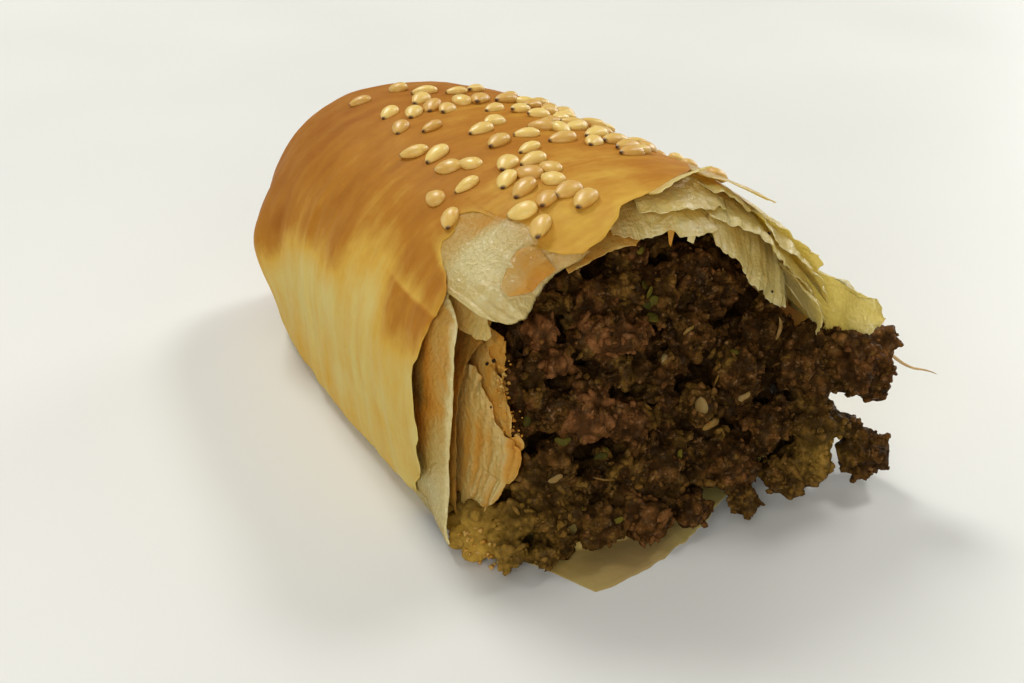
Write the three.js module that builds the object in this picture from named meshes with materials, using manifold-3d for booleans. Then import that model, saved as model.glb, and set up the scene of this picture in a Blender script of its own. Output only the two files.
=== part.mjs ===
// A filo pastry roll of spiced mince, broken open at one end, with sesame on its crown.
// Millimetres, +Z up. The roll lies along Y: the torn end faces -Y and the folded end +Y.
// The origin is on the flat base, under the middle of the roll. Angles go round the roll's
// section in degrees: 0 is the right wall, 90 the crown, 180 the left wall and 270 the base.

import * as THREE from "three";
import { mergeVertices } from "three/addons/utils/BufferGeometryUtils.js";
import Module from "manifold-3d";

const wasm = await Module();
wasm.setup();

// The roll's outer form
const ROLL = {
  cutY: -29, // where the torn end lies on average
  closeY: 10.5, // where the folded end starts to close
  tipY: 35.3, // tip of the folded end
  halfWidthCut: 22,
  halfWidthTip: 20.1,
  heightCut: 32.7,
  heightTip: 27.7,
  middleZ: 12, // height at which the walls are widest
  topPower: 2.31, // squareness of the dome
  basePower: 9, // squareness of the lower corners
  baseSink: 0.8, // depth by which the flat base cuts the rounded one
};

// The folded end is blunt, closes to a level ridge and has a pinched ear at each side
const FOLD = { ridgeZ: 15, widthPower: 0.39, heightPower: 0.19 };
const EARS = [
  { angle: 180, y: 22, reach: 2.6 },
  { angle: 0, y: 23.5, reach: 1.9 },
];
const EAR_SPREAD = { angle: 16, y: 4.5 };

// Wrinkles that run up and down the walls
const WRINKLE = { height: 0.35, pitch: 13, drift: 1.1, driftPitch: 31, baseSpread: 62 };

// The wall of stacked sheets: thick and loose on the left and at the upper right, pressed
// thin under the filling
const WALL = { thickness: 4, side: 2.2, sideAngle: 172, shoulder: 2.4, shoulderAngle: 58, base: -2.5 };
const WALL_SPREAD = { side: 32, shoulder: 22, base: 42 };
// Depth in the wall, as a share of it, at which each sheet's torn edge starts and ends
const SHEETS = [
  { outer: 0, inner: 0.12 },
  { outer: 0.3, inner: 0.43 },
  { outer: 0.62, inner: 1 },
];
// How far the air gap between two torn sheets runs in, on the walls and under the filling
const GROOVE = { depth: 3.2, baseDepth: 0.5, baseSpread: 50 };

// Where each sheet is torn: its y all round, and tongues (negative) and notches along it
const TEARS = [
  {
    y: -25.6,
    marks: [
      { angle: 182, spread: 22, by: 1.6 },
      { angle: 152, spread: 6, by: -1.4 },
      { angle: 137, spread: 7, by: 6 },
      { angle: 121, spread: 7, by: -4.2 },
      { angle: 106, spread: 6, by: -2.4 },
      { angle: 60, spread: 16, by: 1.5 },
      { angle: 22, spread: 9, by: -3 },
      { angle: 2, spread: 18, by: -1.4 },
      { angle: 262, spread: 46, by: -10.2 },
      { angle: 228, spread: 8, by: -8 },
      { angle: 262, spread: 18, by: -2.2 },
    ],
  },
  {
    y: -28.4,
    marks: [
      { angle: 178, spread: 34, by: -2 },
      { angle: 137, spread: 7, by: 2 },
      { angle: 98, spread: 9, by: -1 },
      { angle: 24, spread: 9, by: -7.4 },
      { angle: 268, spread: 40, by: -8 },
    ],
  },
  {
    y: -28,
    marks: [
      { angle: 180, spread: 17, by: -5 },
      { angle: 120, spread: 10, by: 0.8 },
      { angle: 84, spread: 18, by: -1.2 },
      { angle: 20, spread: 8, by: -5.6 },
      { angle: 268, spread: 42, by: -8 },
    ],
  },
];

// Small jags along every tear: two waves, each shifted from sheet to sheet
const JAGS = [
  { by: 0.35, angle: 19, shift: 71 },
  { by: 0.25, angle: 13, shift: 38 },
];

// Sesame, in scattered groups on the crown; a spread is two thirds of the reach from the middle
const SEED = { length: 2.9, width: 1.9, thickness: 1.15, sizeSpread: 0.12 };
const SEED_PLACING = { sunk: 0.42, spacing: 2.4, edge: 1.7, tries: 40 };
const SEED_GROUPS = [
  { angle: 111, y: -20, angleSpread: 6, ySpread: 5, count: 17 },
  { angle: 131, y: -15.5, angleSpread: 2, ySpread: 2, count: 2 },
  { angle: 119, y: -8, angleSpread: 4, ySpread: 4, count: 6 },
  { angle: 93, y: -9, angleSpread: 8, ySpread: 7, count: 17 },
  { angle: 72, y: -13, angleSpread: 9, ySpread: 7, count: 15 },
  { angle: 98, y: 7, angleSpread: 13, ySpread: 8, count: 19 },
];
const SEED_DRAW = 41;

// The filling: a core that runs through the roll, with its broken face leaning back
const FILLING = {
  gap: 0.45, // clear of the pastry
  tipGap: 5.5, // its far end, short of the folded tip
  faceFootY: -37, // the face at the base
  faceLean: 0.44, // how far the face goes back for each millimetre up
  faceSkew: 0.08, // and forward for each millimetre to the right
};
// Lumps of mince on the face, in rows over it
const LUMP = { pitch: 4.9, rowPitch: 4.2, jitter: 1.3, radius: 3.3, radiusSpread: 0.9 };
const LUMP_FORM = { rough: 0.16, flat: 0.8, tilt: 0.4, stand: 0.2 };
const LUMP_EDGE = { room: 1.8, share: 0.7 }; // room a lump needs by the wall, and what it takes of it
const LUMP_DRAW = 7;
// Lumps that hang out at the lower right, where the wall is torn back
const HANGING_LUMPS = [
  { x: 16.4, y: -33.6, z: 12.6, radius: 3.6 },
  { x: 18.4, y: -34.6, z: 10.8, radius: 3 },
  { x: 20.5, y: -36.2, z: 14.3, radius: 4.4 },
  { x: 16.2, y: -35.4, z: 6.6, radius: 3.4 },
  { x: 19.6, y: -36.2, z: 7.6, radius: 2.1 },
  { x: 21.6, y: -37, z: 3.5, radius: 3.3 },
];

// Points round the pastry and the filling's core, and rows of points along them
const COLUMNS = 60;
const CORE_COLUMNS = COLUMNS / 2;
const ROWS = { fold: 8, wall: 11, sheet: 3, hollow: 2, hollowFold: 5, core: 3 };
const FACE_RINGS = [1, 0.72, 0.4, 0];
const MERGE_DISTANCE = 1e-4;

const radians = THREE.MathUtils.degToRad;
const lerp = THREE.MathUtils.lerp;

// A smooth hill of height 1, that wide
const hill = (distance, spread) => Math.exp(-((distance / spread) ** 2));

// The way round from one angle to another, from -180 to 180
const turnFrom = (at, angle) => THREE.MathUtils.euclideanModulo(angle - at + 180, 360) - 180;

// The same run of numbers from 0 to 1 every time, from a whole-number start
function draws(start) {
  let state = start;
  return () => {
    state = (state * 16807) % 2147483647;
    return state / 2147483647;
  };
}

// Radius from the middle line to the skin of the open stretch
function sectionRadius(angle, y) {
  const along = (y - ROLL.cutY) / (ROLL.tipY - ROLL.cutY);
  const half = lerp(ROLL.halfWidthCut, ROLL.halfWidthTip, along);
  const height = lerp(ROLL.heightCut, ROLL.heightTip, along);
  const across = Math.cos(radians(angle));
  const up = Math.sin(radians(angle));
  const power = up >= 0 ? ROLL.topPower : ROLL.basePower;
  const rise = up >= 0 ? height - ROLL.middleZ : ROLL.middleZ + ROLL.baseSink;
  const round = (Math.abs(across / half) ** power + Math.abs(up / rise) ** power) ** (-1 / power);
  return up < 0 ? Math.min(round, -ROLL.middleZ / up) : round;
}

// Wrinkles of the outer sheet, none on the crown or on the base
function wrinkle(angle, y) {
  const wall = Math.cos(radians(angle)) ** 2;
  const overBase = 1 - hill(turnFrom(270, angle), WRINKLE.baseSpread);
  const sway = WRINKLE.drift * Math.sin((2 * Math.PI * y) / WRINKLE.driftPitch);
  return WRINKLE.height * wall * overBase * Math.sin((2 * Math.PI * y) / WRINKLE.pitch + sway);
}

// A point that far inside the skin; tipY is where this layer's folded end closes
function skin(angle, y, inset = 0, tipY = ROLL.tipY) {
  const across = Math.cos(radians(angle));
  const up = Math.sin(radians(angle));
  const radius = sectionRadius(angle, y) - inset;
  const closing = Math.max(0, (y - ROLL.closeY) / (tipY - ROLL.closeY));
  const open = Math.sqrt(Math.max(0, 1 - closing ** 2));
  const z = ROLL.middleZ + radius * up;
  let x = radius * across * open ** FOLD.widthPower;
  if (inset === 0) {
    x += Math.sign(across) * wrinkle(angle, y) * open;
    for (const ear of EARS) {
      const pinch = hill(turnFrom(ear.angle, angle), EAR_SPREAD.angle) * hill(y - ear.y, EAR_SPREAD.y);
      x += Math.sign(across) * ear.reach * pinch * open;
    }
  }
  return new THREE.Vector3(x, y, FOLD.ridgeZ + (z - FOLD.ridgeZ) * open ** FOLD.heightPower);
}

function wallThickness(angle) {
  const side = WALL.side * hill(turnFrom(WALL.sideAngle, angle), WALL_SPREAD.side);
  const shoulder = WALL.shoulder * hill(turnFrom(WALL.shoulderAngle, angle), WALL_SPREAD.shoulder);
  const base = WALL.base * hill(turnFrom(270, angle), WALL_SPREAD.base);
  return WALL.thickness + side + shoulder + base;
}

// Where a sheet ends at that angle
function tearY(sheet, angle) {
  const { y, marks } = TEARS[sheet];
  const torn = marks.reduce((sum, m) => sum + m.by * hill(turnFrom(m.angle, angle), m.spread), y);
  return JAGS.reduce((sum, jag) => {
    return sum + jag.by * Math.sin((2 * Math.PI * (angle + sheet * jag.shift)) / jag.angle);
  }, torn);
}

// A closed surface through rows of points, each row a function of the angle. The first and
// last rows are single points.
function loft(rows, columns) {
  const geometry = new THREE.SphereGeometry(1, columns, rows.length - 1);
  const position = geometry.getAttribute("position");
  rows.forEach((row, down) => {
    for (let i = 0; i <= columns; i++) {
      const point = row(360 - (360 * (i % columns)) / columns);
      position.setXYZ(down * (columns + 1) + i, point.x, point.y, point.z);
    }
  });
  return geometry;
}

// The rows of a folded end, from its tip to where it starts to close
function foldedRows(count, inset, tipY) {
  return Array.from({ length: count }, (_, i) => {
    const y = ROLL.closeY + (tipY - ROLL.closeY) * Math.cos(((Math.PI / 2) * i) / count);
    return (angle) => skin(angle, y, inset(angle), tipY);
  });
}

// Rows between two ends of an open stretch, the first end included
function straightRows(count, inset, fromY, toY) {
  return Array.from({ length: count }, (_, i) => {
    return (angle) => skin(angle, lerp(fromY(angle), toY(angle), i / count), inset(angle));
  });
}

function solidOf(geometry) {
  geometry.deleteAttribute("normal");
  geometry.deleteAttribute("uv");
  const merged = mergeVertices(geometry, MERGE_DISTANCE);
  return new wasm.Manifold(
    new wasm.Mesh({
      numProp: 3,
      vertProperties: merged.getAttribute("position").array,
      triVerts: new Uint32Array(merged.index.array),
    }),
  );
}

function geometryOf(solid) {
  const mesh = solid.getMesh();
  const geometry = new THREE.BufferGeometry();
  geometry.setAttribute("position", new THREE.BufferAttribute(mesh.vertProperties, mesh.numProp));
  geometry.setIndex(new THREE.BufferAttribute(mesh.triVerts, 1));
  geometry.computeVertexNormals();
  return geometry;
}

// The pastry: one skin from the folded tip to the torn end, in and out of the gaps between
// the torn sheets, and back along the hollow that the filling lies in
function pastrySolid() {
  const none = () => 0;
  const whole = wallThickness;
  const shareOf = (share) => (angle) => share * wallThickness(angle);
  const tears = TEARS.map((_, sheet) => (angle) => tearY(sheet, angle));
  const grooveY = (i) => (angle) => {
    const depth = lerp(GROOVE.depth, GROOVE.baseDepth, hill(turnFrom(270, angle), GROOVE.baseSpread));
    return Math.max(tears[i](angle), tears[i + 1](angle)) + depth;
  };
  const at = (inset, y) => (angle) => skin(angle, y(angle), inset(angle));
  const hollowTipY = ROLL.tipY - FILLING.tipGap + FILLING.gap;

  const rows = foldedRows(ROWS.fold, none, ROLL.tipY);
  rows.push(...straightRows(ROWS.wall, none, () => ROLL.closeY, tears[0]));
  SHEETS.forEach((sheet, i) => {
    rows.push(at(shareOf(sheet.outer), tears[i]), at(shareOf(sheet.inner), tears[i]));
    const next = SHEETS[i + 1];
    if (next) {
      const gap = shareOf((sheet.inner + next.outer) / 2);
      rows.push(at(gap, grooveY(i)));
      rows.push(...straightRows(ROWS.sheet, shareOf(next.outer), grooveY(i), tears[i + 1]).slice(1));
    }
  });
  rows.push(...straightRows(ROWS.hollow, whole, tears[SHEETS.length - 1], () => ROLL.closeY).slice(1));
  rows.push(at(whole, () => ROLL.closeY));
  rows.push(...foldedRows(ROWS.hollowFold, whole, hollowTipY).reverse());
  return solidOf(loft(rows, COLUMNS));
}

// The frame of a seed that lies on the skin: along it, across it and straight up from it
function seedFrame(angle, y, heading) {
  const step = 0.5;
  const foot = skin(angle, y);
  const round = skin(angle + step, y).sub(skin(angle - step, y)).normalize();
  const along = skin(angle, y + step).sub(skin(angle, y - step)).normalize();
  const up = new THREE.Vector3().crossVectors(along, round).normalize();
  const side = new THREE.Vector3().crossVectors(up, along);
  const length = along.multiplyScalar(Math.cos(heading)).addScaledVector(side, Math.sin(heading));
  const width = new THREE.Vector3().crossVectors(up, length);
  return { foot, length, width, up };
}

// Seeds drawn group by group, each clear of those before it
function seedPlaces() {
  const draw = draws(SEED_DRAW);
  const fromMiddle = (spread) => spread * 1.5 * (draw() + draw() - 1);
  const places = [];
  for (const group of SEED_GROUPS) {
    const wanted = places.length + group.count;
    const tries = group.count * SEED_PLACING.tries;
    for (let i = 0; i < tries && places.length < wanted; i++) {
      const angle = group.angle + fromMiddle(group.angleSpread);
      const y = group.y + fromMiddle(group.ySpread);
      const heading = draw() * Math.PI;
      const size = 1 + SEED.sizeSpread * (2 * draw() - 1);
      const foot = skin(angle, y);
      const onSheet = y > tearY(0, angle) + SEED_PLACING.edge;
      const clear = places.every((other) => other.foot.distanceTo(foot) > SEED_PLACING.spacing);
      if (onSheet && clear) places.push({ ...seedFrame(angle, y, heading), size });
    }
  }
  return places;
}

function seedSolid({ foot, length, width, up, size }) {
  const geometry = new THREE.SphereGeometry(0.5, 6, 4);
  geometry.scale(SEED.width * size, SEED.length * size, SEED.thickness * size);
  const lift = SEED.thickness * size * (0.5 - SEED_PLACING.sunk);
  const matrix = new THREE.Matrix4().makeBasis(width.clone().negate(), length, up);
  matrix.setPosition(foot.clone().addScaledVector(up, lift));
  return solidOf(geometry.applyMatrix4(matrix));
}

// The filling's broken face
const faceY = (x, z) => FILLING.faceFootY + FILLING.faceLean * z - FILLING.faceSkew * x;

function coreSolid() {
  const inset = (angle) => wallThickness(angle) + FILLING.gap;
  const edge = (angle) => {
    const rim = skin(angle, ROLL.cutY, inset(angle));
    return faceY(rim.x, rim.z);
  };
  const middle = new THREE.Vector3(0, 0, ROLL.middleZ);
  const onFace = (share) => (angle) => {
    const point = skin(angle, edge(angle), inset(angle));
    point.setY(0).lerp(middle, 1 - share);
    return point.setY(faceY(point.x, point.z));
  };
  const rows = foldedRows(ROWS.hollowFold, inset, ROLL.tipY - FILLING.tipGap);
  rows.push(...straightRows(ROWS.core, inset, () => ROLL.closeY, edge));
  rows.push(...FACE_RINGS.map(onFace));
  return solidOf(loft(rows, CORE_COLUMNS));
}

function lumpSolid({ x, y, z, radius }, draw) {
  const geometry = new THREE.IcosahedronGeometry(radius, 1);
  geometry.deleteAttribute("normal");
  geometry.deleteAttribute("uv");
  const lump = mergeVertices(geometry, MERGE_DISTANCE);
  const position = lump.getAttribute("position");
  const point = new THREE.Vector3();
  for (let i = 0; i < position.count; i++) {
    point.fromBufferAttribute(position, i).multiplyScalar(1 - LUMP_FORM.rough * draw());
    position.setXYZ(i, point.x, point.y * LUMP_FORM.flat, point.z);
  }
  return solidOf(lump.rotateZ(LUMP_FORM.tilt * (2 * draw() - 1)).translate(x, y, z));
}

// Lumps in staggered rows over the face, kept inside the hollow's outline
function faceLumps(draw) {
  const lumps = [];
  const rowCount = Math.floor(ROLL.heightCut / LUMP.rowPitch);
  for (let row = 1; row <= rowCount; row++) {
    const startX = -ROLL.halfWidthCut + (row % 2) * LUMP.pitch * 0.5;
    for (let x = startX; x < ROLL.halfWidthCut; x += LUMP.pitch) {
      const lumpX = x + LUMP.jitter * (2 * draw() - 1);
      const lumpZ = row * LUMP.rowPitch + LUMP.jitter * (2 * draw() - 1);
      const radius = LUMP.radius + LUMP.radiusSpread * (2 * draw() - 1);
      const angle = THREE.MathUtils.radToDeg(Math.atan2(lumpZ - ROLL.middleZ, lumpX));
      const rim = skin(THREE.MathUtils.euclideanModulo(angle, 360), faceY(lumpX, lumpZ));
      const room = Math.hypot(rim.x, rim.z - ROLL.middleZ) - Math.hypot(lumpX, lumpZ - ROLL.middleZ);
      const clear = room - wallThickness(angle) - FILLING.gap;
      if (clear > LUMP_EDGE.room) {
        const size = Math.min(radius, clear * LUMP_EDGE.share);
        lumps.push({ x: lumpX, y: faceY(lumpX, lumpZ) + size * LUMP_FORM.stand, z: lumpZ, radius: size });
      }
    }
  }
  return lumps;
}

function fillingSolid() {
  const draw = draws(LUMP_DRAW);
  const lumps = [...faceLumps(draw), ...HANGING_LUMPS];
  return wasm.Manifold.union([coreSolid(), ...lumps.map((lump) => lumpSolid(lump, draw))]);
}

const pastryMaterial = new THREE.MeshStandardMaterial({ color: 0xc98a3c, roughness: 0.45, metalness: 0 });
const fillingMaterial = new THREE.MeshStandardMaterial({ color: 0x4a2a18, roughness: 0.7, metalness: 0 });

const pastry = new THREE.Mesh(
  geometryOf(wasm.Manifold.union([pastrySolid(), ...seedPlaces().map(seedSolid)])),
  pastryMaterial,
);
pastry.name = "pastry";

const filling = new THREE.Mesh(geometryOf(fillingSolid()), fillingMaterial);
filling.name = "filling";

const roll = new THREE.Group();
roll.add(pastry, filling);

export default roll;
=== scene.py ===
"""A filo roll of spiced mince, broken open at one end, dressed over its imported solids.

Shapes are worked out in millimetres in the part's own frame. The roll lies along Y and its torn end
faces -Y. Angles go round its section in degrees: 0 is the right wall, 90 the crown, 180 the left
wall and 270 the base.
"""

import math
from collections import namedtuple

import bmesh
import bpy
import numpy as np
from mathutils import Euler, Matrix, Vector


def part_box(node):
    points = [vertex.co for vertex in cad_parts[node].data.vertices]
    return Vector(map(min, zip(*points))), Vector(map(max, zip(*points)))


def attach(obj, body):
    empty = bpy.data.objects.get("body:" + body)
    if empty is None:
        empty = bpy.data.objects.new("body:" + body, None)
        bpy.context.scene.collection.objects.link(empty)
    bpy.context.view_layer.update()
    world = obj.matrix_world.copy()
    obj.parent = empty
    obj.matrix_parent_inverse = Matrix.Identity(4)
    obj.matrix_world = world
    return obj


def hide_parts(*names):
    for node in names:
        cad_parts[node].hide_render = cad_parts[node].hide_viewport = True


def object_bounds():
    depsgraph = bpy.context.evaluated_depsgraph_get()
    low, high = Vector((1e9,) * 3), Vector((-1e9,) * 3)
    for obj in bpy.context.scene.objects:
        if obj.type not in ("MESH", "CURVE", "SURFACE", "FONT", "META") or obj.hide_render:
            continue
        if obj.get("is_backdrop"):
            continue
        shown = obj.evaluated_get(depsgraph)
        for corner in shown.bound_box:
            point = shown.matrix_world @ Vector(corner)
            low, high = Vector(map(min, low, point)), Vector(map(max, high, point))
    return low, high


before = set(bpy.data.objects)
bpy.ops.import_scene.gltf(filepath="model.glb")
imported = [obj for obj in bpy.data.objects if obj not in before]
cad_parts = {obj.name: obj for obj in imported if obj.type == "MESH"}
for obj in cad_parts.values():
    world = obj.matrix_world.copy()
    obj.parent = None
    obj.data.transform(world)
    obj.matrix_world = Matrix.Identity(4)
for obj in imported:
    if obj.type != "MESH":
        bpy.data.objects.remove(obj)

CAD_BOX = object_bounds()
PASTRY_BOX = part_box("pastry")

bl_info = {
    "name": "Briouat",
    "version": (1, 0, 0),
    "blender": (4, 5, 0),
    "location": "3D View > Sidebar > Briouat",
    "description": "Dresses a broken filo roll with its torn sheets, sesame and mince",
    "category": "Object",
}

MM = 0.001

# Angles round the section
RIGHT, CROWN, LEFT, BASE = 0, 90, 180, 270

# The roll's outer form, as in the part's source
CUT_Y = -29.0
CLOSE_Y = 10.5
TIP_Y = PASTRY_BOX[1].y / MM
HALF_WIDTH_CUT, HALF_WIDTH_TIP = 22.0, 20.1
HEIGHT_CUT, HEIGHT_TIP = 32.7, 27.7
MIDDLE_Z = 12.0
TOP_POWER, BASE_POWER = 2.31, 9.0
BASE_SINK = 0.8
RIDGE_Z = 15.0
FOLD_WIDTH_POWER, FOLD_HEIGHT_POWER = 0.39, 0.19
EARS = ((LEFT, 22.0, 2.6), (RIGHT, 23.5, 1.9))  # angle, y, reach
EAR_ANGLE_SPREAD, EAR_Y_SPREAD = 16, 4.5
BASE_SPREAD = 50
RING_RADIUS = 20.0  # of a circle about as long as the section
NEARLY_NONE = 1e-6

# The wall of stacked sheets
WALL = 4.0
WALL_MARKS = ((172, 32, 2.2), (58, 22, 2.4), (BASE, 42, -2.5))  # angle, spread, by

# The filling's broken face: y at the base, lean back for each mm up, skew for each mm right
FACE_FOOT_Y, FACE_LEAN, FACE_SKEW = -37.0, 0.44, 0.08
FILLING_GAP, FILLING_TIP_GAP = 0.45, 5.5

# The top of the thin sheet that lies under the mince in front
BASE_TOP = 0.28

# The photograph's camera: where it stands, in mm, its turn, and its focal length in pixels
CAMERA_PLACE = (-61.6, -119.2, 73.7)
CAMERA_PITCH, CAMERA_TURN = 27.4, -27.8
CAMERA_ROTATION = (math.radians(90.0 - CAMERA_PITCH), 0.0, math.radians(CAMERA_TURN))
PHOTO_WIDTH, PHOTO_HEIGHT = 1024, 683
PHOTO_FOCUS = 1300.0
SENSOR_WIDTH = 36.0

# Whole numbers that mix a cell's place into a number with no pattern
CELL_MIX = (73856093, 19349663, 83492791)
START_MIX, TURN_MIX, TURN_STEP, LAST_MIX = 668265263, 1103515245, 12345, 60493
MIX_LIMIT, MIX_SHIFT = 0x7FFFFFFF, 13
# Steps that keep noises apart, and how far a granule's middle strays from its cell's
START_STEP, OCTAVE_STEP, MIDDLE_SPREAD = 0.37, 7, 0.45


def hill(distance, spread):
    """A smooth hill of height 1, that wide."""
    return np.exp(-((distance / spread) ** 2))


def turn(at, angle):
    """The way round from one angle to another, from -180 to 180."""
    return (angle - at + 180.0) % 360.0 - 180.0


def ramp(low, high, value):
    """A smooth step from 0 at low to 1 at high."""
    share = np.clip((value - low) / (high - low), 0.0, 1.0)
    return share * share * (3.0 - 2.0 * share)


def scattered(cell, start):
    """A number from -1 to 1 for each whole-number cell."""
    x, y, z = (cell[..., axis] * CELL_MIX[axis] for axis in range(3))
    mixed = (x ^ y ^ z ^ (start * START_MIX)) & MIX_LIMIT
    mixed = (mixed * TURN_MIX + TURN_STEP) & MIX_LIMIT
    mixed = ((mixed >> MIX_SHIFT) ^ mixed) * LAST_MIX & MIX_LIMIT
    return mixed / (MIX_LIMIT >> 1) - 1.0


def grain(points, size, start):
    """Smooth noise from -1 to 1, with lumps about that size."""
    at = np.asarray(points, float) / size + START_STEP * start
    cell = np.floor(at).astype(np.int64)
    part = at - cell
    ease = part * part * (3.0 - 2.0 * part)
    total = np.zeros(at.shape[:-1])
    for corner in np.ndindex(2, 2, 2):
        weight = np.prod(np.where(corner, ease, 1.0 - ease), axis=-1)
        total += weight * scattered(cell + np.array(corner), start)
    return total


def granules(points, size, start):
    """How far points are from the nearest of many scattered middles, and a number for that middle."""
    at = points / size
    cell = np.floor(at).astype(np.int64)
    best = np.full(len(points), np.inf)
    kind = np.zeros(len(points))
    for step in np.ndindex(3, 3, 3):
        near = cell + np.array(step) - 1
        moved = np.stack([scattered(near, start + i) for i in range(3)], axis=-1)
        middle = near + 0.5 + MIDDLE_SPREAD * moved
        gap = np.linalg.norm(at - middle, axis=-1)
        kind = np.where(gap < best, scattered(near, start + 3), kind)
        best = np.minimum(best, gap)
    return best, 0.5 + 0.5 * kind


def warped(points, size, by, start):
    """Points moved about by noise, so that what is laid over them loses its even shape."""
    return points + by * np.stack([grain(points, size, start + i) for i in range(3)], axis=-1)


def rough(points, size, start, octaves=3):
    """Noise with finer and finer lumps, each half as big and as high as the last."""
    total = 0.0
    for octave in range(octaves):
        total = total + grain(points, size / 2**octave, start + OCTAVE_STEP * octave) / 2**octave
    return total / (2.0 - 0.5 ** (octaves - 1))


def raised(values, points, layers):
    """Values with noises added: each has a height, the size of its lumps in mm, a start and octaves."""
    for height, size, start, octaves in layers:
        values = values + height * rough(points, size, start, octaves)
    return values


def knobs(points, number, kind):
    """How much each point of a small shape stands out, in another way for each number."""
    stretch, apart, height, *noise = kind
    return (1.0 + height * rough(points * stretch + apart * number, *noise))[:, None]


def unit(way):
    return way / np.linalg.norm(way)


def stacked(x, y, z):
    return np.stack(np.broadcast_arrays(x, y, z), axis=-1)


def ring_points(angle, depth=0.0):
    """Points round a circle about as long as the section, for noise that joins up at its ends."""
    turned = np.radians(angle)
    return stacked(RING_RADIUS * np.cos(turned), RING_RADIUS * np.sin(turned), depth)


def patch(angle, y, at, spread, at_y, spread_y):
    """A soft patch on the skin, round an angle and a y."""
    return hill(turn(at, angle), spread) * hill(y - at_y, spread_y)


def section_radius(angle, y):
    """Radius from the middle line to the skin of the open stretch."""
    along = (y - CUT_Y) / (TIP_Y - CUT_Y)
    half = HALF_WIDTH_CUT + (HALF_WIDTH_TIP - HALF_WIDTH_CUT) * along
    height = HEIGHT_CUT + (HEIGHT_TIP - HEIGHT_CUT) * along
    across = np.cos(np.radians(angle))
    up = np.sin(np.radians(angle))
    power = np.where(up >= 0, TOP_POWER, BASE_POWER)
    rise = np.where(up >= 0, height - MIDDLE_Z, MIDDLE_Z + BASE_SINK)
    round_off = (np.abs(across / half) ** power + np.abs(up / rise) ** power) ** (-1.0 / power)
    floor = MIDDLE_Z / np.maximum(-up, NEARLY_NONE)
    return np.where(up < 0, np.minimum(round_off, floor), round_off)


def skin(angle, y, inset, tip_y=TIP_Y, outer=0.0):
    """Points that far inside the skin; outer is the share of the outer sheet's pinched ears."""
    across = np.cos(np.radians(angle))
    up = np.sin(np.radians(angle))
    radius = section_radius(angle, y) - inset
    closing = np.clip((y - CLOSE_Y) / (tip_y - CLOSE_Y), 0.0, 1.0)
    fold = np.sqrt(1.0 - closing**2)
    x = radius * across * fold**FOLD_WIDTH_POWER
    for ear_angle, ear_y, reach in EARS:
        pinch = patch(angle, y, ear_angle, EAR_ANGLE_SPREAD, ear_y, EAR_Y_SPREAD)
        x = x + np.sign(across) * reach * pinch * fold * outer
    z = RIDGE_Z + (MIDDLE_Z + radius * up - RIDGE_Z) * fold**FOLD_HEIGHT_POWER
    return stacked(x, y, np.maximum(z, 0.0))


def wall_thickness(angle):
    """How thick the wall of sheets is, all round."""
    return WALL + sum(by * hill(turn(at, angle), spread) for at, spread, by in WALL_MARKS)


def over_base(angle):
    """1 on the walls and crown, and 0 in the middle of the base."""
    return 1.0 - hill(turn(BASE, angle), BASE_SPREAD)


def face_y(x, z):
    """The filling's broken face."""
    return FACE_FOOT_Y + FACE_LEAN * z - FACE_SKEW * x


def photo_pixels(points):
    """Where the photograph's camera sees points that are in mm."""
    seen = (points - np.array(CAMERA_PLACE)) @ np.array(Euler(CAMERA_ROTATION).to_matrix())
    across = PHOTO_WIDTH / 2 - PHOTO_FOCUS * seen[..., 0] / seen[..., 2]
    down = PHOTO_HEIGHT / 2 + PHOTO_FOCUS * seen[..., 1] / seen[..., 2]
    return np.stack([across, down], axis=-1)


def heading_shares(foot, first, second, heading):
    """Shares of two directions that together show at a heading in the photograph, in degrees."""
    middle, one, two = photo_pixels(np.stack([foot, foot + first, foot + second]))
    wanted = np.array([math.cos(math.radians(heading)), -math.sin(math.radians(heading))])
    return np.linalg.solve(np.stack([one - middle, two - middle], axis=-1), wanted)


class Shape:
    """An operator's mesh, whose points are then put where they belong."""

    def __init__(self, bm):
        bm.verts.index_update()
        self.points = np.array([vert.co for vert in bm.verts])
        self.faces = [tuple(vert.index for vert in face.verts) for face in bm.faces]
        bm.free()


def ball(columns, rows):
    """A ball, with each point's row from pole to pole and its share of the way round."""
    bm = bmesh.new()
    bmesh.ops.create_uvsphere(bm, u_segments=columns, v_segments=rows, radius=1.0)
    shape = Shape(bm)
    x, y, z = shape.points.T
    shape.row = np.rint(np.arccos(np.clip(z, -1.0, 1.0)) / math.pi * rows).astype(int)
    column = np.rint(np.arctan2(y, x) / (2.0 * math.pi) * columns).astype(int) % columns
    shape.column = np.where((shape.row == 0) | (shape.row == rows), 0, column)
    return shape


def lump_ball(subdivisions):
    bm = bmesh.new()
    bmesh.ops.create_icosphere(bm, subdivisions=subdivisions, radius=1.0)
    return Shape(bm)


def signed_volume(points, faces):
    """Six times a closed shape's volume, less than 0 where its faces look inwards."""
    corners = [(face[0], face[i], face[i + 1]) for face in faces for i in range(1, len(face) - 1)]
    a, b, c = (points[np.array(corners)[:, i]] for i in range(3))
    return np.einsum("ij,ij->i", a, np.cross(b, c)).sum()


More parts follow.
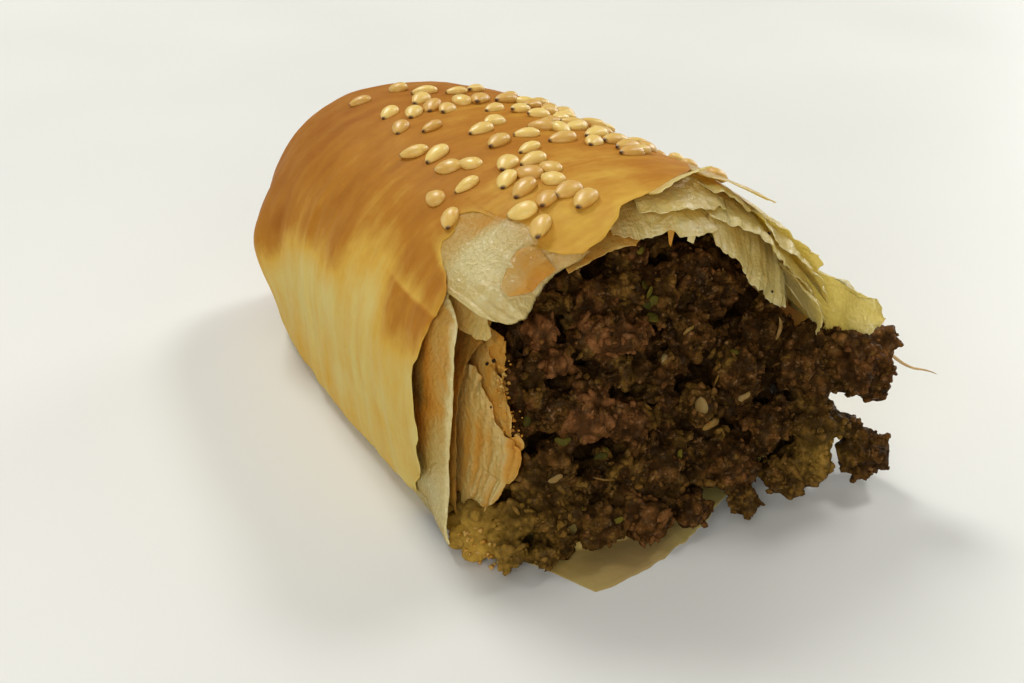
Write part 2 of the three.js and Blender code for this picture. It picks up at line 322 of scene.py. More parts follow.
class Heap:
    """Shapes gathered into one mesh, with numbers kept at their points."""

    def __init__(self):
        self.points = []
        self.faces = []
        self.marks = {}
        self.count = 0

    def add(self, points, faces, **marks):
        flipped = signed_volume(points, faces) < 0
        for face in faces:
            moved = tuple(index + self.count for index in face)
            self.faces.append(moved[::-1] if flipped else moved)
        self.points.append(points)
        self.count += len(points)
        for name, values in marks.items():
            self.marks.setdefault(name, []).append(np.broadcast_to(values, len(points)))

    def mesh(self, name):
        mesh = bpy.data.meshes.new(name)
        mesh.from_pydata(np.concatenate(self.points) * MM, [], self.faces)
        mesh.update()
        for mark, values in self.marks.items():
            set_mark(mesh, mark, np.concatenate(values))
        return mesh


def set_mark(mesh, name, values):
    """Keeps a number at each point, for the materials to read."""
    made = mesh.attributes.new(name, "FLOAT", "POINT")
    made.data.foreach_set("value", np.asarray(values, np.float32))


def read_vectors(mesh, kind):
    flat = np.empty(len(mesh.vertices) * 3, np.float32)
    mesh.vertices.foreach_get(kind, flat)
    return flat.reshape(-1, 3).astype(float)


def points_and_normals(mesh):
    """The place in mm and the normal of each point of a mesh."""
    return read_vectors(mesh, "co") / MM, read_vectors(mesh, "normal")


def read_mark(mesh, name):
    values = np.empty(len(mesh.vertices), np.float32)
    mesh.attributes[name].data.foreach_get("value", values)
    return values


def move_points(mesh, points):
    mesh.vertices.foreach_set("co", (points * MM).astype(np.float32).ravel())
    mesh.update()


def linked(name, mesh):
    piece = bpy.data.objects.new(name, mesh)
    bpy.context.scene.collection.objects.link(piece)
    return piece


def keep_piece(name, mesh, material, node):
    """Makes a mesh one of the object's pieces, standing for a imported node."""
    mesh.polygons.foreach_set("use_smooth", np.ones(len(mesh.polygons), bool))
    mesh.materials.append(material)
    piece = linked(name, mesh)
    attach(piece, "root")
    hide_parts(node)
    return piece


# Most of a noise lies in this range
NOISE_RANGE = (0.3, 0.7)
# Sockets of a colour mix
MIX_SHARE, MIX_FIRST, MIX_SECOND, MIX_RESULT = 0, 6, 7, 2


class Finish:
    """A material with one Principled shader, built up node by node."""

    def __init__(self, name):
        self.material = bpy.data.materials.new(name)
        self.material.use_nodes = True
        self.tree = self.material.node_tree
        self.shader = next(n for n in self.tree.nodes if n.type == "BSDF_PRINCIPLED")
        self.place = self.node("ShaderNodeTexCoord").outputs["Object"]

    def node(self, kind, **settings):
        made = self.tree.nodes.new(kind)
        for name, value in settings.items():
            setattr(made, name, value)
        return made

    def join(self, out, socket):
        self.tree.links.new(out, socket)

    def set(self, **values):
        for name, value in values.items():
            self.shader.inputs[name.replace("_", " ")].default_value = value

    def feed(self, name, out):
        self.join(out, self.shader.inputs[name])

    def mark(self, name):
        return self.node("ShaderNodeAttribute", attribute_name=name).outputs["Fac"]

    def noise(self, size, detail=3.0, roughness=0.6, stretch=None):
        """Noise whose lumps are about that many mm across."""
        made = self.node("ShaderNodeTexNoise")
        made.inputs["Scale"].default_value = 1.0 / (size * MM)
        made.inputs["Detail"].default_value = detail
        made.inputs["Roughness"].default_value = roughness
        place = self.place
        if stretch:
            mapping = self.node("ShaderNodeMapping")
            mapping.inputs["Scale"].default_value = stretch
            self.join(place, mapping.inputs["Vector"])
            place = mapping.outputs["Vector"]
        self.join(place, made.inputs["Vector"])
        return made.outputs["Fac"]

    def cells(self, size):
        """How far places are from the middles of cells about that many mm across."""
        made = self.node("ShaderNodeTexVoronoi", feature="F1")
        made.inputs["Scale"].default_value = 1.0 / (size * MM)
        self.join(self.place, made.inputs["Vector"])
        return made.outputs["Distance"]

    def math(self, operation, first, second):
        made = self.node("ShaderNodeMath", operation=operation)
        for socket, value in zip(made.inputs, (first, second)):
            if isinstance(value, (int, float)):
                socket.default_value = value
            else:
                self.join(value, socket)
        return made.outputs["Value"]

    def spread(self, value, low, high, to_low=0.0, to_high=1.0):
        """Maps low to high onto another range, and holds the ends."""
        made = self.node("ShaderNodeMapRange")
        self.join(value, made.inputs["Value"])
        for name, number in zip(("From Min", "From Max", "To Min", "To Max"), (low, high, to_low, to_high)):
            made.inputs[name].default_value = number
        return made.outputs["Result"]

    def vary(self, value, noise, by):
        """Adds noise to a value, up to that much either way."""
        return self.math("ADD", value, self.spread(noise, *NOISE_RANGE, -by, by))

    def colours(self, value, stops):
        """A colour ramp through stops of (place, colour)."""
        made = self.node("ShaderNodeValToRGB")
        elements = made.color_ramp.elements
        while len(elements) < len(stops):
            elements.new(1.0)
        for element, (place, colour) in zip(elements, stops):
            element.position = place
            element.color = (*colour, 1.0)
        self.join(value, made.inputs["Fac"])
        return made.outputs["Color"]

    def mix(self, share, first, second):
        """Goes from the first colour to the second by a share."""
        made = self.node("ShaderNodeMix", data_type="RGBA", blend_type="MIX")
        for index, value in ((MIX_SHARE, share), (MIX_FIRST, first), (MIX_SECOND, second)):
            socket = made.inputs[index]
            if isinstance(value, float):
                socket.default_value = value
            elif isinstance(value, bpy.types.NodeSocket):
                self.join(value, socket)
            else:
                socket.default_value = (*value, 1.0)
        return made.outputs[MIX_RESULT]

    def bump(self, height, strength, depth):
        made = self.node("ShaderNodeBump")
        made.inputs["Strength"].default_value = strength
        made.inputs["Distance"].default_value = depth * MM
        self.join(height, made.inputs["Height"])
        self.feed("Normal", made.outputs["Normal"])

    def glow(self, tone, share):
        """Lets a share of the light through, as a thin sheet does."""
        through = self.node("ShaderNodeBsdfTranslucent")
        self.join(tone, through.inputs["Color"])
        both = self.node("ShaderNodeMixShader")
        both.inputs[0].default_value = share
        self.join(self.shader.outputs["BSDF"], both.inputs[1])
        self.join(through.outputs["BSDF"], both.inputs[2])
        end = next(n for n in self.tree.nodes if n.type == "OUTPUT_MATERIAL")
        self.join(both.outputs["Shader"], end.inputs["Surface"])


def colour(name, description, default):
    return bpy.props.FloatVectorProperty(
        name=name, description=description, default=default, size=3, subtype="COLOR", min=0.0, max=1.0
    )


def length(name, description, default):
    return bpy.props.FloatProperty(name=name, description=description, default=default, unit="LENGTH")


class CrustSettings(bpy.types.PropertyGroup):
    sheet: length("Sheet thickness", "Thickness of the baked outer sheet", 0.00024)
    pleat: length("Pleat height", "Height of the pleats that run up and down the walls", 0.00030)
    pale: colour("Pale", "Pastry that hardly browned", (0.655, 0.51, 0.155))
    golden: colour("Golden", "Lightly baked pastry", (0.635, 0.37, 0.054))
    amber: colour("Amber", "Well baked pastry", (0.44, 0.180, 0.016))
    deep: colour("Deep", "The most baked pastry", (0.32, 0.105, 0.008))
    # Soaked is fat and also painted shade: it darkens the flake under the mouth, which lies in the roll's
    # shadow
    soaked: colour("Soaked", "The thin sheet under the mince, soaked with fat", (0.37, 0.250, 0.090))


class SheetSettings(bpy.types.PropertyGroup):
    thickness: length("Thickness", "Thickness of one filo sheet", 0.00017)
    ripple: length("Ripple", "How far a torn sheet waves out of its lie", 0.00045)
    whitest: colour("Whitest", "Filo at its thinnest", (0.93, 0.82, 0.35))
    pale: colour("Pale", "Unbaked filo", (0.95, 0.83, 0.36))
    moist: colour("Moist", "Moist filo inside the wall", (0.86, 0.66, 0.20))
    golden: colour("Golden", "Filo next to the crust", (0.84, 0.48, 0.080))
    orange: colour("Orange", "Filo that browned at its edge", (0.78, 0.35, 0.038))
    # Soaked is painted shade as well as fat: the deepest layers between the sheets get it where they lie in
    # shade
    soaked: colour("Soaked", "Filo in the shade, soaked with fat", (0.30, 0.175, 0.036))
    pepper: colour("Pepper", "Ground pepper", (0.012, 0.006, 0.003))
    pepper_light: colour("Pepper light", "Paler grains of pepper", (0.035, 0.016, 0.006))
    glow: bpy.props.FloatProperty(
        name="Glow", description="Share of light that passes through a sheet", default=0.5, subtype="FACTOR"
    )


class SesameSettings(bpy.types.PropertyGroup):
    length: length("Length", "Length of a seed", 0.0031)
    width: length("Width", "Width of a seed", 0.0020)
    thickness: length("Thickness", "Thickness of a seed", 0.00125)
    light: colour("Light", "Palest toasted seed", (0.84, 0.60, 0.165))
    toasted: colour("Toasted", "Darkest toasted seed", (0.64, 0.36, 0.07))
    tip: colour("Tip", "A seed's dark tip", (0.07, 0.022, 0.006))


class MinceSettings(bpy.types.PropertyGroup):
    voxel: length("Detail", "Size of the smallest lump that the mince keeps", 0.000275)
    # Dark is also painted shade, laid by the deep mark into gaps, creases, the back of the face and the
    # hidden core
    dark: colour("Dark", "Mince in the deep gaps", (0.016, 0.007, 0.002))
    brown: colour("Brown", "Fried mince", (0.069, 0.027, 0.0056))
    rosy: colour("Rosy", "Broken faces of the larger lumps", (0.215, 0.085, 0.026))
    ochre: colour("Ochre", "Mince soaked with spice and pastry", (0.22, 0.115, 0.020))
    # Fat is partly painted highlight: its pale flecks stand for glints on the moist mince as well as bits
    # of fat
    fat: colour("Fat", "Pale bits in the mince", (0.40, 0.22, 0.10))
    mush: colour("Mush", "Mince and pastry mixed at the left corner", (0.58, 0.345, 0.052))
    onion: colour("Onion", "Slivers of onion", (0.26, 0.185, 0.070))
    juice: colour("Juice", "Shine of the juices on the mince", (1.0, 0.74, 0.45))
    herb: colour("Herb", "Flecks of herb", (0.034, 0.029, 0.002))
    herb_light: colour("Herb light", "Paler flecks of herb", (0.120, 0.094, 0.008))
    thread: colour("Thread", "The dry thread of meat", (0.66, 0.47, 0.21))


class StageSettings(bpy.types.PropertyGroup):
    floor: colour("Floor", "The pale floor", (0.755, 0.75, 0.69))


# The baked outer sheet's torn edge: angle and y
CRUST_EDGE = (
    (0, -27.6), (20, -26.6), (35, -20.8), (48, -16.4), (60, -19.6), (69, -24.0), (80, -27.6),
    (86, -28.8), (92, -29.0), (97, -29.4), (101, -29.8), (104, -31.2), (110, -32.2), (117, -32.6),
    (121, -31.6), (122.6, -30.0), (123.6, -28.6), (124.0, -27.4), (124.2, -26.0), (124.5, -23.6),
    (124.9, -21.4), (125.4, -19.8), (126.4, -18.8), (128, -18.0), (129, -17.6), (131, -18.4),
    (133, -19.4), (135, -19.4), (136.5, -19.0), (138.5, -19.8), (140.5, -21.4), (142, -23.4),
    (144, -24.8), (147, -25.3), (152, -25.4), (155, -25.4), (159, -25.1), (162, -24.8),
    (164.5, -24.0), (167.5, -24.0), (171.5, -24.4), (175, -24.8), (178.5, -25.8), (182, -25.8),
    (185.5, -24.6), (188.5, -24.3), (191, -24.8), (194, -24.4), (198, -22.8), (203, -21.0),
    (207, -20.6), (211, -22.2), (214, -26.0), (217, -31.0), (219, -33.5), (222, -36.0),
    (226, -40.2), (232, -40.2), (240, -39.8), (256, -38.8), (271, -37.5), (285, -36.0),
    (304, -33.4), (318, -31.6), (332, -29.6), (346, -27.4),
)
# How far that edge droops inwards: angle and mm
CRUST_DROOP = (
    (69, 0.0), (80, 0.1), (86, 0.3), (92, 0.4), (97, 0.5), (101, 0.6), (104, 1.1), (110, 2.0),
    (117, 2.3), (121, 1.9), (122.6, 1.7), (123.6, 1.3), (124.0, 0.8), (124.2, 0.4), (124.5, 0.1),
    (124.9, 0.0),
)
DROOP_LENGTH, DROOP_PAST, DROOP_BEND = 8.0, 0.5, 1.4
CRUST_COLUMNS = 480
# The crust's columns lie closer together round the notch in its edge: share of them, and angle
COLUMN_ANGLES = ((0.0, 0), (0.24, 116), (0.42, 136), (0.56, 158), (0.80, 222), (1.0, 360))
CRUST_ROWS = {"fold": 34, "wall": 84, "edge": 3, "under": 14, "back": 4, "hollow": 8, "hollow_fold": 9}
UNDERCUT, BASE_UNDERCUT = 9.5, 3.5
EDGE_THICKNESS, THICKENING = 0.06, 3.0
# Noises: height, size of the lumps in mm, start and octaves
EDGE_JAGS = ((0.45, 4.0, 11, 3), (0.30, 1.3, 14, 3))
CROWN_SWELLS = ((0.28, 11.0, 23, 2), (0.07, 2.6, 24, 2))

# Upright pleats: how far they sway and over what length, how far they run up, their noises and their share
PLEAT_SWAY, PLEAT_SWAY_LENGTH, PLEAT_RUN = 1.3, 9.0, 0.10
PLEAT_FOLDS, PLEAT_CREASES, CREASE_SHARE = (4.2, 21, 2), (1.5, 22, 2), 0.5
CROWN_PLEATS, WALL_PLEATS = 0.25, 0.9
# The tuck low on the left wall, which grows towards the torn end and is deepest at a dent: y and spread
TUCK_ANGLE, TUCK_SPREAD, TUCK_DEPTH = 206, 15, 0.8
TUCK_GROWS, TUCK_DENT, TUCK_ENDS = (4.0, -14.0), (-22.0, 4.0), (-31.5, -26.0)
# The flap on the left wall: its upper border's angle, which is less for each mm away from a y
FLAP_ANGLE, FLAP_LEAN, FLAP_Y, FLAP_RISE = 151.6, 0.14, -20.0, 0.22
FLAP_STEP, FLAP_FADE, FLAP_GROWS = (-0.5, 0.7), (16.0, 4.0), (-13.0, -19.0)
# Near the base nothing stands out
BASE_RISE, BASE_HELD = 2.0, (54.0, 64.0)

# The brown of the crown ends at a border on each side: angle, change for each mm along, and by patches
BROWN_BORDERS = ((160.0, 0.80, 9.0), (28.0, -0.25, -9.0))
BORDER_BEFORE, BORDER_AFTER = 13.0, 15.0
STREAK_RUN, STREAK_NOISE, PATCH_NOISE = 0.16, (3.4, 31), (9.0, 32)
FRECKLES = ((0.05, 2.4, 33, 3),)
# How much each part of the sheet bakes, and the angles or the y between which it sets in or ends
CROWN_BAKED, STREAKS_BAKED, PATCHES_BAKED = 0.68, 0.22, 0.10
BACK_BAKED, BACK_GROWS = 0.20, (-4.0, 24.0)
FRONT_PALER, FRONT_PATCH = 0.20, (108, 24, -27.0, 10.0)  # angle, spread, y, spread
WALL_BAKED, WALL_FADE = 0.18, (60.0, 125.0)
FLAP_BLUSH, BLUSH_STEP, BLUSH_FADE, BLUSH_GROWS = 0.42, (-0.4, 0.8), (20.0, 4.0), (-10.0, -20.0)
BLUSH_EVEN, BLUSH_STREAKS = 0.8, 0.9
# Painted shade: extra brown laid above the flap's upper border on the left wall, where the wall lies in
# shade
FLAP_PAINTED_SHADE, PAINTED_SHADE_ABOVE, PAINTED_SHADE_SPREAD = 0.30, 6.0, 7.0
TIP_BAKED, TIP_GROWS = 0.30, (18.0, 32.0)
LOW_BAKED, LOW_GROWS, LOW_ENDS = 0.16, (178.0, 200.0), (250.0, 215.0)
RIM_PALER, RIM_ANGLE, RIM_SPREAD, RIM_REACH = 0.30, 104, 26, (2.0, 0.2)
NOTCH_PALER, NOTCH_ANGLE, NOTCH_SPREAD, NOTCH_REACH = 0.40, 139, 6, 2.6
INNER_BAKED = 0.35
# The thin flake under the mouth, whose soaked colour is partly painted shade, as it lies in the roll's
# shadow
FLAKE_ANGLE, FLAKE_SPREAD, FLAKE_BAKED = 245, 34, 0.12
FLAKE_BAKES, FLAKE_SOAKED_AND_SHADED = (-28.0, -34.0), (-32.0, -36.0)


def crust_columns():
    """The angle of each of the crust's columns."""
    share, angle = np.array(COLUMN_ANGLES).T
    return np.interp(np.arange(CRUST_COLUMNS) / CRUST_COLUMNS, share, angle)


def flap_share(angle, y):
    """How far round an angle is below the upper border of the flap on the left wall."""
    return angle % 360 - FLAP_ANGLE + FLAP_LEAN * np.abs(y - FLAP_Y)


def round_section(pairs, angle):
    """A number at an angle, from pairs of angle and number."""
    at, values = np.array(pairs).T
    return np.interp(angle, at, values, period=360.0)


def crust_edge(angle):
    """Where the outer sheet is torn, with its small jags."""
    return raised(round_section(CRUST_EDGE, angle), ring_points(angle), EDGE_JAGS)


def crust_droop(angle, y):
    """How far the outer sheet sinks towards its torn edge."""
    edge = crust_edge(angle)
    near = ramp(edge + DROOP_LENGTH, edge - DROOP_PAST, y)
    return round_section(CRUST_DROOP, angle) * near**DROOP_BEND


def crust_swell(angle, y, pleat):
    """How far the roll stands out: pleats on the walls, swells on the crown, a flap and a tuck."""
    wall = np.cos(np.radians(angle)) ** 2
    sway = PLEAT_SWAY * np.sin(np.radians(angle) * RING_RADIUS / PLEAT_SWAY_LENGTH)
    upright = stacked(y + sway, ring_points(angle)[..., 0] * PLEAT_RUN, 0.0)
    creases = CREASE_SHARE * rough(upright, *PLEAT_CREASES)
    pleats = 1.0 - 2.0 * np.abs(rough(upright, *PLEAT_FOLDS)) + creases
    swell = raised(0.0, ring_points(angle, y), CROWN_SWELLS)
    dent_y, dent_spread = TUCK_DENT
    tuck = TUCK_DEPTH * ramp(*TUCK_GROWS, y) + TUCK_DEPTH * hill(y - dent_y, dent_spread)
    tuck = hill(turn(TUCK_ANGLE, angle), TUCK_SPREAD) * tuck * ramp(*TUCK_ENDS, y)
    under = flap_share(angle, y)
    flap = FLAP_RISE * ramp(*FLAP_STEP, under) * ramp(*FLAP_FADE, under) * ramp(*FLAP_GROWS, y)
    rise = pleat * (CROWN_PLEATS + WALL_PLEATS * wall) * pleats + swell + flap - tuck
    return np.minimum(rise * over_base(angle), BASE_RISE * ramp(*BASE_HELD, np.abs(turn(BASE, angle))))


def crust_relief(angle, y, pleat):
    return crust_swell(angle, y, pleat) - crust_droop(angle, y)


def browning(angle, y):
    """How baked the outer sheet is, from 0 to 1, with painted shade above the flap on the left wall."""
    around = angle % 360
    ring = ring_points(angle)
    field = ring_points(angle, y)
    streaks = rough(stacked(y, ring[..., 0] * STREAK_RUN, ring[..., 1] * STREAK_RUN), *STREAK_NOISE)
    patches = rough(field, *PATCH_NOISE)
    left, right = (at + lean * y + by * patches for at, lean, by in BROWN_BORDERS)
    high = ramp(left + BORDER_AFTER, left - BORDER_BEFORE, around)
    high = high * ramp(right - BORDER_BEFORE, right + BORDER_AFTER, around)
    crown = CROWN_BAKED + BACK_BAKED * ramp(*BACK_GROWS, y) - FRONT_PALER * patch(angle, y, *FRONT_PATCH)
    under = flap_share(angle, y)
    near = ramp(*BLUSH_GROWS, y)
    blush = FLAP_BLUSH * ramp(*BLUSH_STEP, under) * ramp(*BLUSH_FADE, under) * near
    low = WALL_BAKED * (1.0 - ramp(*WALL_FADE, np.abs(turn(CROWN, angle))))
    low = low + blush * (BLUSH_EVEN + BLUSH_STREAKS * streaks) + TIP_BAKED * ramp(*TIP_GROWS, y)
    low = low + LOW_BAKED * ramp(*LOW_GROWS, around) * ramp(*LOW_ENDS, around)
    low = low + FLAKE_BAKED * hill(turn(FLAKE_ANGLE, angle), FLAKE_SPREAD) * ramp(*FLAKE_BAKES, y)
    # Painted shade above the flap's upper border, added to the baking
    shade = FLAP_PAINTED_SHADE * hill(under + PAINTED_SHADE_ABOVE, PAINTED_SHADE_SPREAD) * near
    baked = high * crown + (1.0 - high) * (low + STREAKS_BAKED * streaks) + shade
    edge = crust_edge(angle)
    rim_from, rim_to = RIM_REACH
    rim = ramp(edge + rim_from, edge + rim_to, y) * hill(turn(RIM_ANGLE, angle), RIM_SPREAD)
    thin = ramp(edge + NOTCH_REACH, edge, y) * hill(turn(NOTCH_ANGLE, angle), NOTCH_SPREAD)
    baked = baked * (1.0 - RIM_PALER * rim) * (1.0 - NOTCH_PALER * thin)
    return np.clip(raised(baked + PATCHES_BAKED * patches, field, FRECKLES), 0.0, 1.0)


def crust_rows(settings):
    """Each row's y, inset, folded tip and share of the outer sheet, from tip to hollow."""
    angle = crust_columns()
    tear = crust_edge(angle)
    sheet = settings.sheet / MM
    whole = wall_thickness(angle)
    hollow_tip = TIP_Y - FILLING_TIP_GAP + FILLING_GAP
    under = tear + BASE_UNDERCUT + (UNDERCUT - BASE_UNDERCUT) * over_base(angle)
    none = np.zeros_like(angle)
    rows = []
    for i in range(CRUST_ROWS["fold"]):
        y = CLOSE_Y + (TIP_Y - CLOSE_Y) * math.cos(math.pi / 2 * i / CRUST_ROWS["fold"])
        rows.append((none + y, none, TIP_Y, 1.0))
    for i in range(CRUST_ROWS["wall"]):
        rows.append((CLOSE_Y + (tear - CLOSE_Y) * i / CRUST_ROWS["wall"], none, TIP_Y, 1.0))
    for i in range(CRUST_ROWS["edge"]):
        bend = math.pi * i / (CRUST_ROWS["edge"] - 1)
        half = 0.5 * EDGE_THICKNESS
        rows.append((tear - half * math.sin(bend), none + half * (1 - math.cos(bend)), TIP_Y, 1.0))
    for i in range(1, CRUST_ROWS["under"] + 1):
        share = i / CRUST_ROWS["under"]
        inset = EDGE_THICKNESS + (sheet - EDGE_THICKNESS) * min(1.0, THICKENING * share)
        rows.append((tear + (under - tear) * share, none + inset, TIP_Y, 1.0))
    for i in range(1, CRUST_ROWS["back"] + 1):
        share = i / CRUST_ROWS["back"]
        rows.append((under, sheet + (whole - sheet) * share, TIP_Y, 1.0 - share))
    for i in range(1, CRUST_ROWS["hollow"] + 1):
        rows.append((under + (CLOSE_Y - under) * i / CRUST_ROWS["hollow"], whole, TIP_Y, 0.0))
    for i in range(1, CRUST_ROWS["hollow_fold"] + 1):
        y = CLOSE_Y + (hollow_tip - CLOSE_Y) * math.sin(math.pi / 2 * i / CRUST_ROWS["hollow_fold"])
        rows.append((none + y, whole, hollow_tip, 0.0))
    return angle, rows


def crust_mesh(settings):
    """The outer sheet, its torn edge, and the wall behind that closes round the filling."""
    angle, rows = crust_rows(settings)
    pleat = settings.pleat / MM
    laid = []
    baked = []
    soaked = []
    for y, inset, tip_y, outer in rows:
        stand = crust_relief(angle, y, pleat) * outer
        laid.append(skin(angle, y, inset - stand, tip_y, outer))
        baked.append(browning(angle, y) * (INNER_BAKED + (1.0 - INNER_BAKED) * outer))
        soaked.append(hill(turn(FLAKE_ANGLE, angle), FLAKE_SPREAD) * ramp(*FLAKE_SOAKED_AND_SHADED, y))
    shape = ball(CRUST_COLUMNS, len(rows) - 1)
    heap = Heap()
    at = shape.row, shape.column
    heap.add(np.array(laid)[at], shape.faces, baked=np.array(baked)[at], soaked=np.array(soaked)[at])
    return heap.mesh("crust")


def crust_finish(settings):
    finish = Finish("baked_filo")
    streaks = finish.noise(2.2, detail=4.0, stretch=(0.25, 1.0, 0.25))
    blotches = finish.noise(5.0, roughness=0.5)
    freckles = finish.noise(0.8, detail=2.0, roughness=0.5)
    baked = finish.mark("baked")
    for noise, by in ((streaks, 0.09), (blotches, 0.08), (freckles, 0.025)):
        baked = finish.vary(baked, noise, by)
    tone = finish.colours(baked, (
        (0.04, settings.pale), (0.36, settings.golden), (0.66, settings.amber), (0.98, settings.deep),
    ))
    # The soaked mark darkens the flake: fat, and painted shade from the roll above it
    finish.feed("Base Color", finish.mix(finish.mark("soaked"), tone, settings.soaked))
    finish.feed("Roughness", finish.spread(blotches, 0.3, 0.75, 0.5, 0.68))
    finish.set(Subsurface_Weight=0.15, Subsurface_Scale=0.0010, Subsurface_Radius=(1.0, 0.5, 0.2))
    finish.set(Specular_IOR_Level=0.07)
    fine = finish.math("ADD", finish.noise(0.7, detail=4.0), finish.math("MULTIPLY", streaks, 0.8))
    finish.bump(fine, strength=0.35, depth=0.12)
    return finish.material


# Filo sheets at the torn end. Each runs from a back path to a torn front path, whose points are angle, y
# and depth inside the skin. Bend is how late it droops, body and edge are how baked it is, ripple and
# pleats are how much it waves and folds, ragged is how jagged its tear is, and lip is how far its edge
# turns in. Root is how baked it is at its back, up to the share of its way that rooted tells; on the left
# sheet a dark root also paints the shade in the recess beside the crust's edge. Several numbers are shared
# out along the sheet
Sheet = namedtuple(
    "Sheet",
    "back front bend body edge ripple pleats ragged lip root rooted",
    defaults=(1.0, 0.0, None, 0.62),
)
# The front of the sheet that shows through the hole in the crust, with its notch in the middle
LEFT_FRONT = (
    (112, -30.4, 3.6), (117, -30.4, 3.7), (122, -30.4, 3.8), (127, -30.0, 4.0), (131, -29.6, 4.2),
    (135, -30.4, 4.3), (139, -31.2, 4.3), (142, -31.2, 4.0), (143.6, -30.8, 3.4), (144.5, -30.0, 2.6),
    (145.1, -28.6, 1.5), (145.3, -26.8, 1.0), (145.3, -21.8, 0.5), (146.5, -26.8, 1.0),
    (151, -27.9, 1.1), (155.5, -27.9, 1.5), (161, -28.1, 1.8), (167, -27.7, 2.1), (173.5, -27.8, 2.2),
    (182, -27.5, 2.2), (189, -27.1, 2.2), (195, -27.1, 2.2), (200, -28.0, 1.2), (204, -29.0, 0.6),
    (207.5, -29.8, 0.3),
)
LEFT_BACK = ((108, -20, 0.20), (142.5, -9, 0.14), (214, -15, 0.40))


def straight_back(front, back):
    """A back path with a point straight behind each point of the front."""
    angle, y, depth = np.array(back).T
    at = [point[0] for point in front]
    return np.stack([at, np.interp(at, angle, y), np.interp(at, angle, depth)], axis=-1)


